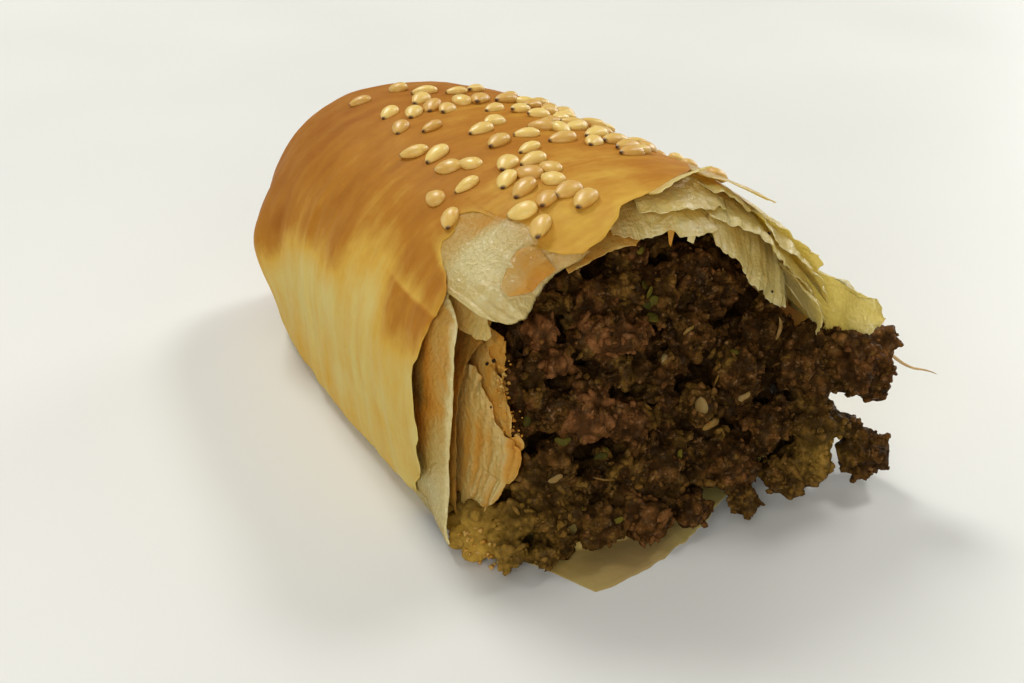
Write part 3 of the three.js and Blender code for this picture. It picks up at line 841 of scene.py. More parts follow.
TORN_SHEETS = {
    "left sheet": Sheet(
        straight_back(LEFT_FRONT, LEFT_BACK), LEFT_FRONT,
        bend=(8.0, 8.0, 8.0, 8.0, 8.0, 8.0, 7.0, 5.5, 2.8, 2.4, 2.4, 2.6, 3.0),
        body=(0.34, 0.24, 0.08, 0.10, 0.34, 0.42, 0.46, 0.46, 0.48, 0.44, 0.26, 0.12, 0.26),
        edge=(0.40, 0.34, 0.22, 0.20, 0.18, 0.18, 0.18, 0.12, 0.12, 0.14, 0.14, 0.10, 0.08),
        ripple=(0.5, 0.9, 1.1, 1.1, 0.9, 0.5, 0.35, 0.35, 0.35, 0.35, 0.35, 0.35, 0.35),
        pleats=0.08,
        ragged=(1.0, 1.2, 1.2, 1.2, 1.2, 0.8, 0.5, 0.5, 0.5, 0.5, 0.5, 0.5, 0.5),
        lip=(0.0, 0.0, 0.0, 0.0, 0.0, 0.0, 0.0, 0.16, 0.25, 0.45, 0.25, 0.45, 0.3),
        # The dark root of the lower strip paints the shade in the recess beside the crust's edge
        root=(0.50, 0.50, 0.44, 0.38, 0.40, 0.42, 0.46, 0.84, 0.94, 0.92, 0.46, 0.10, 0.24),
        rooted=(0.64, 0.64, 0.66, 0.68, 0.68, 0.66, 0.66, 0.80, 0.82, 0.82, 0.80, 0.80, 0.80)),
    "grey layer": Sheet(
        ((138, -18, 1.5), (152, -18, 1.6)),
        ((141, -26.4, 1.7), (144.5, -29.6, 2.2), (147.5, -30.9, 2.8), (150, -30.0, 2.9),
         (151.5, -28.0, 2.6), (152, -25.4, 2.2)),
        bend=2.0, body=0.36, edge=0.26, ripple=0.5, pleats=0.05),
    # A dark sheet in the gap beside the left strip's rim: its soaked colour is painted shade
    "shaded layer": Sheet(
        ((138, -18, 2.4), (206, -18, 2.4)),
        ((141, -28.2, 2.6), (145, -29.0, 3.1), (149, -28.8, 3.4), (155, -27.8, 3.3), (165, -27.2, 3.1),
         (180, -27.2, 3.1), (195, -27.6, 2.9), (206, -28.8, 2.3)),
        bend=1.0, body=1.0, edge=0.92, ripple=0.8, pleats=0.20),
    "under layer": Sheet(
        ((146, -19, 4.4), (206, -19, 4.2)),
        ((147, -29.0, 5.2), (152, -28.6, 6.0), (158, -28.6, 6.8), (166, -28.8, 7.4), (175, -29.0, 7.8),
         (188, -29.2, 7.6), (200, -29.8, 6.2), (206, -30.4, 4.6)),
        bend=1.2, body=0.72, edge=0.50, ripple=0.9, pleats=0.20),
    "yellow border": Sheet(
        ((146.5, -25, 3.6), (151, -23, 4.8), (160, -24, 5.2), (177, -26, 5.8)),
        ((146.5, -30.8, 4.4), (150, -28.2, 5.0), (153, -26.6, 5.4), (156, -27.0, 5.7), (159, -29.0, 5.9),
         (162, -30.8, 6.0), (165, -31.8, 6.0), (170, -32.5, 6.0), (176, -31.8, 6.2), (180, -31.0, 6.4)),
        bend=1.3, body=0.46, edge=0.44, ripple=2.2, pleats=0.40, ragged=2.2),
    "pleated flap": Sheet(
        ((158, -21, 3.7), (180, -21, 3.8), (204, -22, 3.4)),
        ((159, -26.4, 4.4), (163, -27.6, 5.2), (167.5, -28.6, 5.6), (174, -30.4, 5.9), (178, -31.6, 6.2),
         (182, -32.6, 6.9), (187, -32.8, 7.0), (193, -32.2, 6.5), (196, -31.8, 6.0), (198, -31.8, 5.6),
         (200, -30.6, 4.6), (203, -30.8, 3.7), (205, -29.6, 3.2)),
        bend=2.0, body=0.47, edge=0.37, ripple=0.8, pleats=0.9, ragged=1.4),
    "beige curl": Sheet(
        ((183, -31.0, 6.7), (176.5, -31.4, 6.5)),
        ((183, -31.9, 7.3), (181, -32.5, 7.6), (178, -32.3, 7.5), (176, -31.6, 7.1)),
        bend=0.6, body=0.50, edge=0.40, ripple=0.4, pleats=0.05, ragged=0.6),
    "tan fold": Sheet(
        ((137.5, -29.0, 1.75), (135, -28.4, 1.6), (131, -27.6, 1.4), (128, -27.4, 0.95),
         (125.5, -27.6, 0.9), (122, -28.4, 1.5)),
        ((137.5, -29.5, 2.2), (135.5, -30.2, 2.8), (133, -30.4, 3.3), (130, -30.3, 3.5),
         (127.5, -30.4, 3.4), (123, -30.8, 3.2)),
        bend=1.0, body=(0.34, 0.40, 0.44, 0.46, 0.46, 0.44),
        edge=(0.42, 0.50, 0.58, 0.60, 0.56, 0.50), ripple=1.0, pleats=0.15, ragged=0.6),
    "dark layer": Sheet(
        ((124, -22, 2.6), (88, -22, 2.6)),
        ((123.5, -29.9, 4.6), (117.5, -30.4, 4.6), (112.5, -30.3, 4.6), (108.5, -29.4, 4.6),
         (104, -31.2, 4.6), (100, -31.0, 4.6), (94, -29.9, 4.6), (89, -28.2, 4.6)),
        bend=1.4, body=0.52, edge=0.42, ripple=1.2, pleats=0.25, ragged=1.5),
    "hanging flap": Sheet(
        ((108, -23, 0.9), (62, -20, 0.8)),
        ((104, -28.6, 3.4), (100, -30.0, 4.0), (97, -30.4, 4.0), (92, -29.4, 4.0), (88, -29.8, 4.0),
         (84, -31.6, 4.0), (82, -32.2, 4.0), (76, -31.9, 3.9), (69, -30.8, 3.7), (64, -29.2, 3.3)),
        bend=1.7, body=0.36, edge=0.20, ripple=2.4, pleats=0.04, ragged=1.8),
    "upper flap": Sheet(
        ((98, -23, 0.6), (58, -20, 0.6)),
        ((97, -29.4, 1.6), (90, -29.6, 2.2), (84, -30.4, 2.7), (76, -30.6, 2.9), (70, -29.6, 2.6),
         (58, -28.4, 2.2)),
        bend=1.9, body=0.24, edge=0.12, ripple=2.4, pleats=0.04, ragged=1.8),
    "orange scrap": Sheet(
        ((86, -29.4, 3.9), (82.5, -30.4, 3.9)), ((85.2, -29.8, 5.2), (84.2, -30.4, 5.6)),
        bend=1.0, body=0.50, edge=0.58, ripple=0.6, pleats=0.1, ragged=1.0),
    "clear scrap": Sheet(
        ((82, -30.8, 3.8), (78, -32.0, 3.8)), ((81.5, -31.0, 4.8), (78.5, -32.0, 5.2)),
        bend=1.0, body=0.2, edge=0.1, ripple=0.6, pleats=0.1, ragged=0.6),
    "right band": Sheet(
        ((80, -20, 1.0), (26, -20, 0.9)),
        ((75, -32.4, 4.8), (66, -32.6, 6.0), (56, -32.2, 7.3), (47, -31.8, 8.3), (39, -31.2, 8.5),
         (32, -30.8, 7.8), (26, -31.2, 7.0), (22, -31.6, 6.2)),
        bend=2.4, body=(0.34, 0.34, 0.32, 0.26, 0.18, 0.14),
        edge=(0.24, 0.22, 0.20, 0.16, 0.10, 0.08), ripple=2.2, pleats=0.0, ragged=2.2),
    "right edge": Sheet(
        ((72, -14, 0.3), (45, -11, 0.3), (18, -14, 0.3)),
        ((70, -27.6, 1.5), (58, -28.6, 1.8), (46, -28.6, 1.8), (38, -30.4, 1.8), (33, -31.2, 1.6),
         (28, -31.8, 1.4), (22, -30.8, 1.2)),
        bend=2.2, body=0.16, edge=0.06, ripple=2.4, pleats=0.0, ragged=2.6),
    "right flap": Sheet(
        ((25, -24, 0.35), (15, -24, 0.5), (3, -24, 0.6)),
        ((23.5, -33.6, 0.5), (22.5, -38.2, 0.5), (18, -38.0, 0.9), (12, -36.4, 1.3), (6, -33.5, 1.3)),
        bend=1.0, body=0.05, edge=0.00, ripple=2.6, pleats=0.0, ragged=2.4),
    "right lining": Sheet(
        ((34, -24, 2.4), (8, -24, 2.2)),
        ((30, -32.6, 4.4), (25, -33.8, 4.2), (17, -33.6, 4.0), (13, -34.0, 3.2), (8, -32.0, 2.6)),
        bend=1.5, body=0.14, edge=0.08, ripple=1.6, pleats=0.0, ragged=1.8),
    "hanging tip": Sheet(
        ((36, -27, 3.4), (20, -27, 3.4)),
        ((30, -33.0, 4.8), (28, -35.0, 5.0), (25, -35.6, 5.2), (18, -35.0, 5.4), (15, -33.8, 5.2)),
        bend=1.5, body=0.14, edge=0.08, ripple=1.6, pleats=0.0, ragged=1.6),
    "loose sliver": Sheet(
        ((72, -17.0, 0.1), (47, -13.0, 0.1)),
        ((70, -25.6, 0.15), (62, -28.0, 0.10), (54, -31.0, 0.15), (51, -30.0, 0.10), (47, -26.0, 0.10)),
        bend=1.0, body=0.34, edge=0.20, ripple=0.3, pleats=0.03),
    "curl": Sheet(
        ((94, -29.4, 0.55), (83, -27.8, 0.25), (72, -25.4, 0.10), (65, -23.6, 0.10)),
        ((94, -30.9, 0.30), (83, -29.7, -0.5), (73, -27.6, -0.9), (66.5, -26.0, -1.0)),
        bend=1.0, body=0.22, edge=0.10, ripple=0.3, pleats=0.02),
    "right wad": Sheet(
        ((74, -18, 0.7), (20, -17, 0.7)),
        ((72, -29.6, 2.8), (62, -30.8, 3.4), (52, -31.4, 4.2), (44, -31.8, 4.8), (36, -32.2, 4.8),
         (28, -32.6, 4.4), (20, -32.4, 3.4)),
        bend=2.0, body=0.12, edge=0.05, ripple=2.8, pleats=0.0, ragged=2.4),
    "right puff": Sheet(
        ((58, -16, 0.5), (18, -16, 0.5)),
        ((56, -29.6, 1.8), (48, -30.6, 2.6), (40, -31.4, 3.0), (32, -32.4, 3.0), (26, -33.0, 2.6),
         (19, -32.6, 2.2)),
        bend=2.0, body=0.10, edge=0.04, ripple=2.8, pleats=0.0, ragged=2.4),
}
# A sheet's points, which crowd towards its edge, and the starts of its noises
SHEET_COLUMNS, PLEATED_COLUMNS = 44, 120
SHEET_ROWS, ROWS_PER_DEGREE = 38, 1.3
EDGE_CROWDING, CORNER_ROUNDING = 1.6, 0.9
SHEET_START, SHEET_START_STEP = 100, 5
# With more pleats than this a sheet gets more columns, and its folds run further
PLEATED, PLEATED_RUN, PLAIN_RUN = 0.5, 0.07, 0.3
# Heights and sizes in mm of what its tear, lip, waves and folds are made of
TEAR_JAG, TEAR_JAG_SIZE = 0.35, 2.6
FINE_JAG, FINE_JAG_SIZE = 0.34, 0.8
SIDE_JAG, SIDE_JAG_SIZE = 0.9, 1.1
LIP_SHARE, FULL_LIP, LIP_FORWARD = 0.14, 0.5, 0.7
LIP_EVEN, LIP_WAVE_SIZE = 0.8, 4.0
WAVE_SIZE, CALM_BACK = 4.0, 0.04
CRUMPLES, CRUMPLE_LEVEL = ((0.24, 1.6, 41, 3), (0.10, 0.8, 44, 2)), 0.2
FOLD_SIZE, FOLD_LEVEL = 0.65, 0.22
FOLLOWS_SKIN = (2.5, 0.5)
EDGE_THINNING, THINNING_POWER = 0.6, 8
ROOT_FADE = 0.16
# Where a sheet takes on the baking of its edge: shares of its way, and distances from a turned lip
CRISP_LIP, SOFT_EDGE, CRISP_EDGE = (0.02, 0.12), (0.5, 0.96), (0.035, 0.005)
# Painted shade and light along the folds: the deeper a fold lies, the browner it is painted
SHEET_MOTTLE, SHEET_MOTTLE_SIZE, FOLDS_PAINTED_SHADE, CRUMPLES_PALER = 0.06, 3.0, 0.4, 0.25


class Strip:
    """A thin closed strip: share along it, share from its back to its front, and its side."""

    def __init__(self, columns, rows):
        shape = ball(columns, rows)
        self.faces = shape.faces
        self.along = np.clip((shape.row - 1) / (rows - 2), 0.0, 1.0)
        round_share = shape.column / columns
        poles = (shape.row == 0) | (shape.row == rows)
        self.front = np.where(poles, 0.5, 1.0 - np.abs(2.0 * round_share - 1.0))
        self.side = np.where(poles, 0.0, np.sign(0.5 - round_share))
        self.side[round_share == 0.0] = 0.0


def along_path(path, share):
    """Angle, y and depth at a share of the way along a path, whose corners are rounded off."""
    at = np.linspace(0.0, 1.0, len(path))
    near = CORNER_ROUNDING / (len(path) - 1) * np.array([-1.0, -0.5, 0.0, 0.5, 1.0])
    shares = np.clip(np.asarray(share)[..., None] + near, 0.0, 1.0)
    return [np.interp(shares, at, values).mean(axis=-1) for values in np.array(path).T]


def along_sheet(values, share):
    """A number at a share of the way along a sheet, from one or several that are evenly shared out."""
    values = np.atleast_1d(values)
    return np.interp(share, np.linspace(0.0, 1.0, len(values)), values)


def sheet_baking(sheet, along, t, lip, turned_at):
    """How baked a sheet is from its root to its torn edge, sharper where its lip turns in; the dark root of
    the left strip is painted shade.
    """
    body = along_sheet(sheet.body, along)
    torn = along_sheet(sheet.edge, along)
    rooted = along_sheet(sheet.rooted, along)
    root = body if sheet.root is None else along_sheet(sheet.root, along)
    body = root + (body - root) * ramp(rooted - ROOT_FADE, rooted, t)
    crisp = ramp(*CRISP_LIP, lip)
    fade = [soft + (turned_at - near - soft) * crisp for soft, near in zip(SOFT_EDGE, CRISP_EDGE)]
    return body + (torn - body) * ramp(*fade, t)


def torn_sheet(heap, sheet, start, settings, pleat):
    """One sheet, thin and closed, that waves and crumples more towards its torn edge.

    Each of its noises has a start of its own, counted from the sheet's.
    """
    pleated = sheet.pleats > PLEATED
    span = max(abs(path[0][0] - path[-1][0]) for path in (sheet.back, sheet.front))
    rows = int(SHEET_ROWS + ROWS_PER_DEGREE * span)
    strip = Strip(PLEATED_COLUMNS if pleated else SHEET_COLUMNS, rows)
    t = 1.0 - (1.0 - strip.front) ** EDGE_CROWDING
    back_angle, back_y, back_depth = along_path(sheet.back, strip.along)
    front_angle, front_y, front_depth = along_path(sheet.front, strip.along)
    ragged, lip, bend, ripple = (
        along_sheet(values, strip.along) for values in (sheet.ragged, sheet.lip, sheet.bend, sheet.ripple)
    )
    edge = skin(front_angle, front_y, front_depth)
    jags = TEAR_JAG * rough(edge, TEAR_JAG_SIZE, start) + FINE_JAG * rough(edge, FINE_JAG_SIZE, start + 3)
    front_y = front_y + ragged * jags
    front_angle = front_angle + ragged * SIDE_JAG * rough(edge, SIDE_JAG_SIZE, start + 6)
    turned_at = 1.0 - LIP_SHARE * np.clip(lip / FULL_LIP, 0.0, 1.0)
    reach = np.minimum(t / turned_at, 1.0)
    turned = lip * (LIP_EVEN + rough(edge, LIP_WAVE_SIZE, start + 9))
    turned = turned * np.clip((t - turned_at) / LIP_SHARE, 0.0, 1.0)
    angle = back_angle + (front_angle - back_angle) * reach
    y = back_y + (front_y - back_y) * reach - LIP_FORWARD * turned
    depth = back_depth + (front_depth - back_depth) * reach**bend + turned
    field = skin(angle, y, depth)
    run = PLEATED_RUN if pleated else PLAIN_RUN
    upright = stacked(field[:, 1], field[:, 0] * run, field[:, 2] * run)
    wave = settings.ripple / MM * ripple * rough(field, WAVE_SIZE, start + 40)
    crumple = sum(
        height * ripple * (np.abs(rough(field, size, start + step, octaves)) - CRUMPLE_LEVEL)
        for height, size, step, octaves in CRUMPLES
    )
    folds = sheet.pleats * (np.abs(rough(upright, FOLD_SIZE, start + 42, 2)) - FOLD_LEVEL)
    depth = depth + (wave + crumple + folds) * (CALM_BACK + (1.0 - CALM_BACK) * t**3)
    depth = depth - crust_swell(angle, y, pleat) * ramp(*FOLLOWS_SKIN, depth)
    half = 0.5 * settings.thickness / MM * (1.0 - EDGE_THINNING * t**THINNING_POWER)
    points = skin(angle, y, depth - strip.side * half)
    mottle = SHEET_MOTTLE * rough(field, SHEET_MOTTLE_SIZE, start + 43)
    baked = sheet_baking(sheet, strip.along, t, lip, turned_at) + mottle
    # Folds are painted with shade and light by how deep they lie
    heap.add(points, strip.faces, baked=baked + FOLDS_PAINTED_SHADE * folds - CRUMPLES_PALER * crumple)


def filo_finish(settings):
    finish = Finish("moist_filo")
    mottle = finish.noise(2.4, detail=4.0)
    fibre = finish.noise(0.7, detail=4.0, roughness=0.65, stretch=(0.2, 1.0, 0.2))
    wrinkle = finish.noise(0.45)
    baked = finish.vary(finish.vary(finish.mark("baked"), mottle, 0.05), fibre, 0.04)
    # The soaked stop at the top of the ramp paints shade into the deepest layers
    tone = finish.colours(baked, (
        (0.0, settings.whitest), (0.14, settings.pale), (0.30, settings.moist), (0.50, settings.golden),
        (0.72, settings.orange), (1.0, settings.soaked),
    ))
    finish.feed("Base Color", tone)
    finish.feed("Roughness", finish.spread(wrinkle, *NOISE_RANGE, 0.10, 0.34))
    finish.feed("Specular IOR Level", finish.spread(baked, 0.12, 0.5, 0.9, 0.08))
    finish.set(IOR=2.0, Specular_IOR_Level=0.4)
    creased = finish.math("ADD", finish.math("MULTIPLY", fibre, 0.25), wrinkle)
    finish.bump(creased, strength=1.0, depth=0.30)
    finish.glow(tone, settings.glow)
    return finish.material


# Crumbs of pastry: middle in mm, how far they scatter, how many, their size, and how baked they are
CRUMB_HEAPS = (
    ((-15.6, -30.2, 16.8), (0.4, 0.5, 1.8), 70, (0.07, 0.20), 0.50),
    ((-15.2, -31.4, 13.2), (0.4, 0.5, 1.2), 40, (0.07, 0.18), 0.50),
    ((-18.9, -30.9, 2.0), (0.7, 0.6, 1.0), 60, (0.10, 0.28), 0.42),
    ((-16.8, -32.6, 1.6), (1.0, 0.5, 0.8), 60, (0.10, 0.26), 0.46),
    ((-14.4, -33.6, 1.2), (1.2, 0.4, 0.6), 30, (0.08, 0.22), 0.60),
)
CRUMB_DRAW, CRUMB_DETAIL = 71, 1
CRUMB_REACH, CRUMB_STRETCH, CRUMB_TONES = 1.6, (0.5, 1.4), 0.08
# How small shapes are dented: stretch, step from one to the next, height, size, start and octaves
CRUMB_KNOBS = (1.2, 7.0, 0.9, 1.0, 72, 2)


def crumb_mesh():
    """Soaked and dry crumbs, heaped against the sheets."""
    draw = np.random.default_rng(CRUMB_DRAW)
    form = lump_ball(CRUMB_DETAIL)
    heap = Heap()
    for middle, spread, count, sizes, baked in CRUMB_HEAPS:
        for _ in range(count):
            off = np.clip(draw.normal(size=3), -CRUMB_REACH, CRUMB_REACH)
            place = np.array(middle) + off * np.array(spread)
            size = draw.uniform(*sizes) * draw.uniform(*CRUMB_STRETCH, 3)
            points = place + form.points * size * knobs(form.points, len(heap.points), CRUMB_KNOBS)
            points[:, 2] = np.maximum(points[:, 2], BASE_TOP)
            heap.add(points, form.faces, baked=baked + draw.normal() * CRUMB_TONES)
    return heap.mesh("pastry_crumbs")


# Pepper that the photograph shows on the sheets: pixels of it, and size in mm
PEPPER_SPOTS = ((771, 233, 0.55), (485, 364, 0.50), (492, 360, 0.60), (774, 292, 0.4), (489, 407, 0.3))
PEPPER_DRAW, PEPPER_BALL = 73, (8, 6)
PEPPER_KNOBS, PEPPER_STRETCH, PEPPER_SHARE = (0.88, 1.08), (0.75, 1.1), 0.4
# How far from a pixel a point may show, and how much further than the nearest
SPOT_SLACK, SPOT_LEEWAY = 2.5, 0.5


def seen_spot(points, across, down):
    """The point that shows nearest to a pixel of the photograph."""
    miss = np.hypot(*(photo_pixels(points) - np.array([across, down])).T)
    away = np.linalg.norm(points - np.array(CAMERA_PLACE), axis=-1)
    return np.argmin(np.where(miss < max(SPOT_SLACK, miss.min() + SPOT_LEEWAY), away, np.inf))


def pepper_mesh(sheets):
    """Specks of pepper on the sheets, where the photograph shows them."""
    draw = np.random.default_rng(PEPPER_DRAW)
    form = ball(*PEPPER_BALL)
    points, _ = points_and_normals(sheets)
    heap = Heap()
    for across, down, size in PEPPER_SPOTS:
        place = points[seen_spot(points, across, down)]
        dents = draw.uniform(*PEPPER_KNOBS, len(form.points))[:, None]
        stretch = draw.uniform(*PEPPER_STRETCH, 3)
        speck = form.points * PEPPER_SHARE * size * stretch * dents
        heap.add(place + speck, form.faces, tone=draw.random())
    return heap.mesh("pepper_specks")


# Sesame that the photograph shows, as pixels of it, and the way each seed points there in degrees
SEEN_SEEDS = (
    (584, 198, 48), (567, 190, 30), (546, 198, 62), (521, 210, 14), (540, 227, 76), (523, 188, 48),
    (506, 179, 62), (528, 172, -12), (552, 178, -20), (550, 166, -18), (507, 163, 52), (532, 158, 20),
    (528, 147, 25), (563, 137, 8), (526, 132, 5), (497, 140, 32), (480, 128, 20), (469, 163, -4),
    (465, 184, 30), (446, 167, 10), (435, 154, 40), (413, 152, 20), (434, 197, -25), (449, 218, 78),
    (430, 126, 30), (399, 127, 60), (413, 112, 55), (494, 120, 20), (359, 101, 20), (461, 96, 10),
    (494, 107, 15), (521, 108, 10), (551, 120, 5), (576, 126, 8), (597, 133, 5), (615, 139, 0),
    (640, 149, 5), (660, 158, -10), (690, 164, 10), (716, 174, -20), (479, 93, 0), (506, 98, 5),
    (447, 108, 40), (540, 113, 0), (628, 146, 0), (420, 98, 30), (388, 112, 40), (677, 161, 0),
)
# Sesame on the far side of the crown: angle, y, their spreads and how many
FAR_SEEDS = ((70, -8, 9, 8, 12), (62, 6, 9, 8, 8), (88, 14, 12, 8, 7))
SEED_DRAW, SEED_TRIES, SEED_SCATTER = 41, 40, 1.5
# How close seeds may lie, the share of one that is sunk in, and how high the middle of one lies
SEED_SPACING, SEED_SUNK, SEED_MIDDLE = 2.1, 0.36, 0.3
SEED_STEP = 0.5  # degrees and mm to each side, for the skin's directions
# Where seeds of the photograph are looked for: first, last and step of the angle and of y
SEARCHED_ANGLES, SEARCHED_Y = (40.0, 160.0, 0.5), (-31.0, 33.0, 0.25)
# A seed's form, and how much seeds pitch, tilt and vary
SEED_BALL = (14, 12)
SEED_WIDEST, SEED_TAPER, SEED_ROUNDING = 1.04, 0.26, 0.12
SEED_PITCH, SEED_TILT, SEED_SIZES = 0.10, 0.3, (0.88, 1.10)
SEED_DENTS = (1.0, 9.0, 0.05, 1.1, 51, 2)


def seed_frame(angle, y):
    """A place on the skin, with its directions along the roll, round it and straight up."""

    def at(turned, moved):
        return skin(np.array(turned), np.array(moved), 0.0, TIP_Y, 1.0)

    along = unit(at(angle, y + SEED_STEP) - at(angle, y - SEED_STEP))
    across = at(angle - SEED_STEP, y) - at(angle + SEED_STEP, y)
    across = unit(across - along * (across @ along))
    return at(angle, y), along, across, np.cross(across, along)


def seen_seed_places(pleat):
    """Where the skin lies under each seed of the photograph, and the way the seed points on it."""
    angle, y = np.meshgrid(np.arange(*SEARCHED_ANGLES), np.arange(*SEARCHED_Y))
    middles = skin(angle, y, -SEED_MIDDLE - crust_relief(angle, y, pleat), TIP_Y, 1.0)
    pixels = photo_pixels(middles)
    for across, down, heading in SEEN_SEEDS:
        miss = np.hypot(pixels[..., 0] - across, pixels[..., 1] - down)
        nearest = np.unravel_index(np.argmin(miss), miss.shape)
        place = angle[nearest], y[nearest]
        foot, along, side, _ = seed_frame(*place)
        along_share, side_share = heading_shares(foot, along, side, heading)
        yield (*place, math.atan2(side_share, along_share))


def sesame_places(pleat):
    """Angle, y and heading of each seed: those of the photograph, then others beyond the ridge."""
    draw = np.random.default_rng(SEED_DRAW)
    places = list(seen_seed_places(pleat))
    feet = [seed_frame(angle, y)[0] for angle, y, _ in places]
    for middle_angle, middle_y, angle_spread, y_spread, count in FAR_SEEDS:
        wanted = len(places) + count
        for _ in range(count * SEED_TRIES):
            angle = middle_angle + angle_spread * SEED_SCATTER * (draw.random() + draw.random() - 1.0)
            y = middle_y + y_spread * SEED_SCATTER * (draw.random() + draw.random() - 1.0)
            foot = seed_frame(angle, y)[0]
            if len(places) < wanted and min(np.linalg.norm(foot - f) for f in feet) > SEED_SPACING:
                places.append((angle, y, draw.random() * math.pi))
                feet.append(foot)
    return places


def sesame_mesh(settings, pleat):
    """Seeds with a pointed end, each laid flat on the skin and sunk in a little."""
    shape = ball(*SEED_BALL)
    x, y, z = shape.points.T
    taper = SEED_WIDEST - SEED_TAPER * z - SEED_ROUNDING * z * z
    sizes = np.array([settings.width, settings.thickness, settings.length])
    form = np.stack([x * taper, y * taper, z], axis=-1) * sizes * 0.5 / MM
    draw = np.random.default_rng(SEED_DRAW + 1)
    heap = Heap()
    for angle, place_y, heading in sesame_places(pleat):
        foot, along, across, up = seed_frame(angle, place_y)
        stand = crust_relief(np.array(angle), np.array(place_y), pleat)
        point_way = along * math.cos(heading) + across * math.sin(heading)
        point_way = unit(point_way + up * draw.uniform(-SEED_PITCH, SEED_PITCH))
        side_way = unit(np.cross(up, point_way))
        tilt = draw.uniform(-SEED_TILT, SEED_TILT)
        top_way = np.cross(point_way, side_way)
        flat_way = side_way * math.cos(tilt) + top_way * math.sin(tilt)
        thick_way = np.cross(point_way, flat_way)
        size = draw.uniform(*SEED_SIZES)
        lift = stand + settings.thickness / MM * size * (0.5 - SEED_SUNK)
        laid = form * size
        laid = laid[:, :1] * flat_way + laid[:, 1:2] * thick_way - laid[:, 2:] * point_way
        points = foot + up * lift + laid * knobs(form, len(heap.points), SEED_DENTS)
        heap.add(points, shape.faces, tip=z, toast=draw.random())
    return heap.mesh("sesame")


def sesame_finish(settings):
    finish = Finish("toasted_sesame")
    mottle = finish.noise(0.9)
    toast = finish.vary(finish.mark("toast"), mottle, 0.2)
    body = finish.colours(toast, ((0.1, settings.light), (0.95, settings.toasted)))
    tipped = finish.spread(finish.mark("tip"), 0.82, 0.97)
    finish.feed("Base Color", finish.mix(tipped, body, settings.tip))
    finish.feed("Roughness", finish.spread(mottle, *NOISE_RANGE, 0.3, 0.45))
    finish.set(Subsurface_Weight=0.2, Subsurface_Scale=0.0008, Subsurface_Radius=(1.0, 0.6, 0.3))
    finish.set(Specular_IOR_Level=0.4)
    finish.bump(mottle, strength=0.2, depth=0.05)
    return finish.material


# Larger lumps that show on the broken face: x, z, radius, how far they stand out, rosy, ochre
FACE_LUMPS = (
    (-4.4, 19.3, 3.0, 1.0, 0.95, 0.0), (-1.6, 18.6, 2.2, 1.2, 0.9, 0.0),
    (-6.9, 12.4, 3.6, 1.2, 0.9, 0.0), (-3.6, 11.2, 2.7, 1.0, 0.75, 0.0),
    (-9.9, 19.8, 2.2, 1.0, 1.0, 0.0), (-9.4, 17.4, 1.7, 1.0, 0.9, 0.0),
    (-13.6, 16.2, 2.6, 0.8, 0.45, 0.1), (-12.8, 12.8, 2.2, 0.6, 0.35, 0.1),
    (1.1, 24.6, 2.6, 0.2, 0.5, 0.0), (7.0, 22.4, 3.0, 0.3, 0.35, 0.0),
    (11.0, 20.2, 2.8, 0.4, 0.3, 0.0), (5.2, 16.8, 3.0, 0.4, 0.4, 0.2),
    (9.4, 13.2, 3.4, 0.9, 0.3, 0.1), (4.6, 11.0, 2.6, 0.5, 0.25, 0.5),
    (13.6, 15.6, 3.0, 0.6, 0.2, 0.1), (-0.9, 6.3, 2.8, 0.6, 0.35, 0.2),
    (-8.1, 3.0, 3.0, 1.6, 0.3, 0.3), (-3.4, 2.6, 2.8, 1.6, 0.6, 0.1),
    (-12.6, 4.2, 2.8, 0.7, 0.3, 0.7), (-15.6, 4.6, 2.6, 0.6, 0.2, 0.9),
    (-17.2, 2.4, 2.2, 0.8, 0.1, 1.0), (-13.9, 1.9, 1.9, 1.2, 0.1, 0.95),
    (1.4, 2.4, 2.4, 1.4, 0.5, 0.1), (6.8, 5.2, 3.2, 0.9, 0.4, 0.1), (11.6, 7.6, 3.4, 0.8, 0.3, 0.1),
    (11.8, 3.2, 2.6, 0.8, 0.2, 0.6), (7.2, 2.0, 1.8, 0.8, 0.2, 0.7), (-11.0, 8.6, 2.6, 0.5, 0.3, 0.3),
    (-13.0, 8.6, 1.7, 0.5, 0.2, 0.5), (2.6, 20.6, 2.2, 0.2, 0.3, 0.3),
)
# Lumps that hang out at the lower right: x, y, z, radius, rosy, ochre
HANGING_LUMPS = (
    (16.4, -33.2, 13.2, 3.4, 0.3, 0.1), (17.4, -33.8, 11.4, 2.2, 0.3, 0.3),
    (20.4, -36.0, 14.1, 3.3, 0.45, 0.0), (22.2, -36.4, 13.0, 2.3, 0.5, 0.1),
    (22.4, -36.6, 15.5, 2.0, 0.8, 0.3), (19.8, -36.4, 12.6, 2.2, 0.35, 0.2),
    (21.8, -37.2, 11.0, 1.6, 0.45, 0.0), (16.2, -35.4, 6.8, 3.0, 0.2, 0.4),
    (18.4, -36.0, 7.0, 1.8, 0.2, 0.5), (20.0, -36.4, 6.3, 1.6, 0.3, 0.2),
    (21.6, -37.0, 3.6, 2.6, 0.30, 0.1), (22.6, -37.6, 4.2, 1.6, 0.3, 0.1),
    (20.6, -37.6, 2.2, 1.8, 0.25, 0.1), (15.8, -35.8, 3.2, 2.4, 0.15, 0.8),
    (16.9, -33.2, 15.9, 1.7, 0.3, 0.2), (18.6, -34.6, 15.6, 1.8, 0.5, 0.4),
    (17.4, -35.0, 8.7, 1.4, 0.2, 0.3), (12.8, -36.2, 2.2, 2.1, 0.1, 0.9),
)
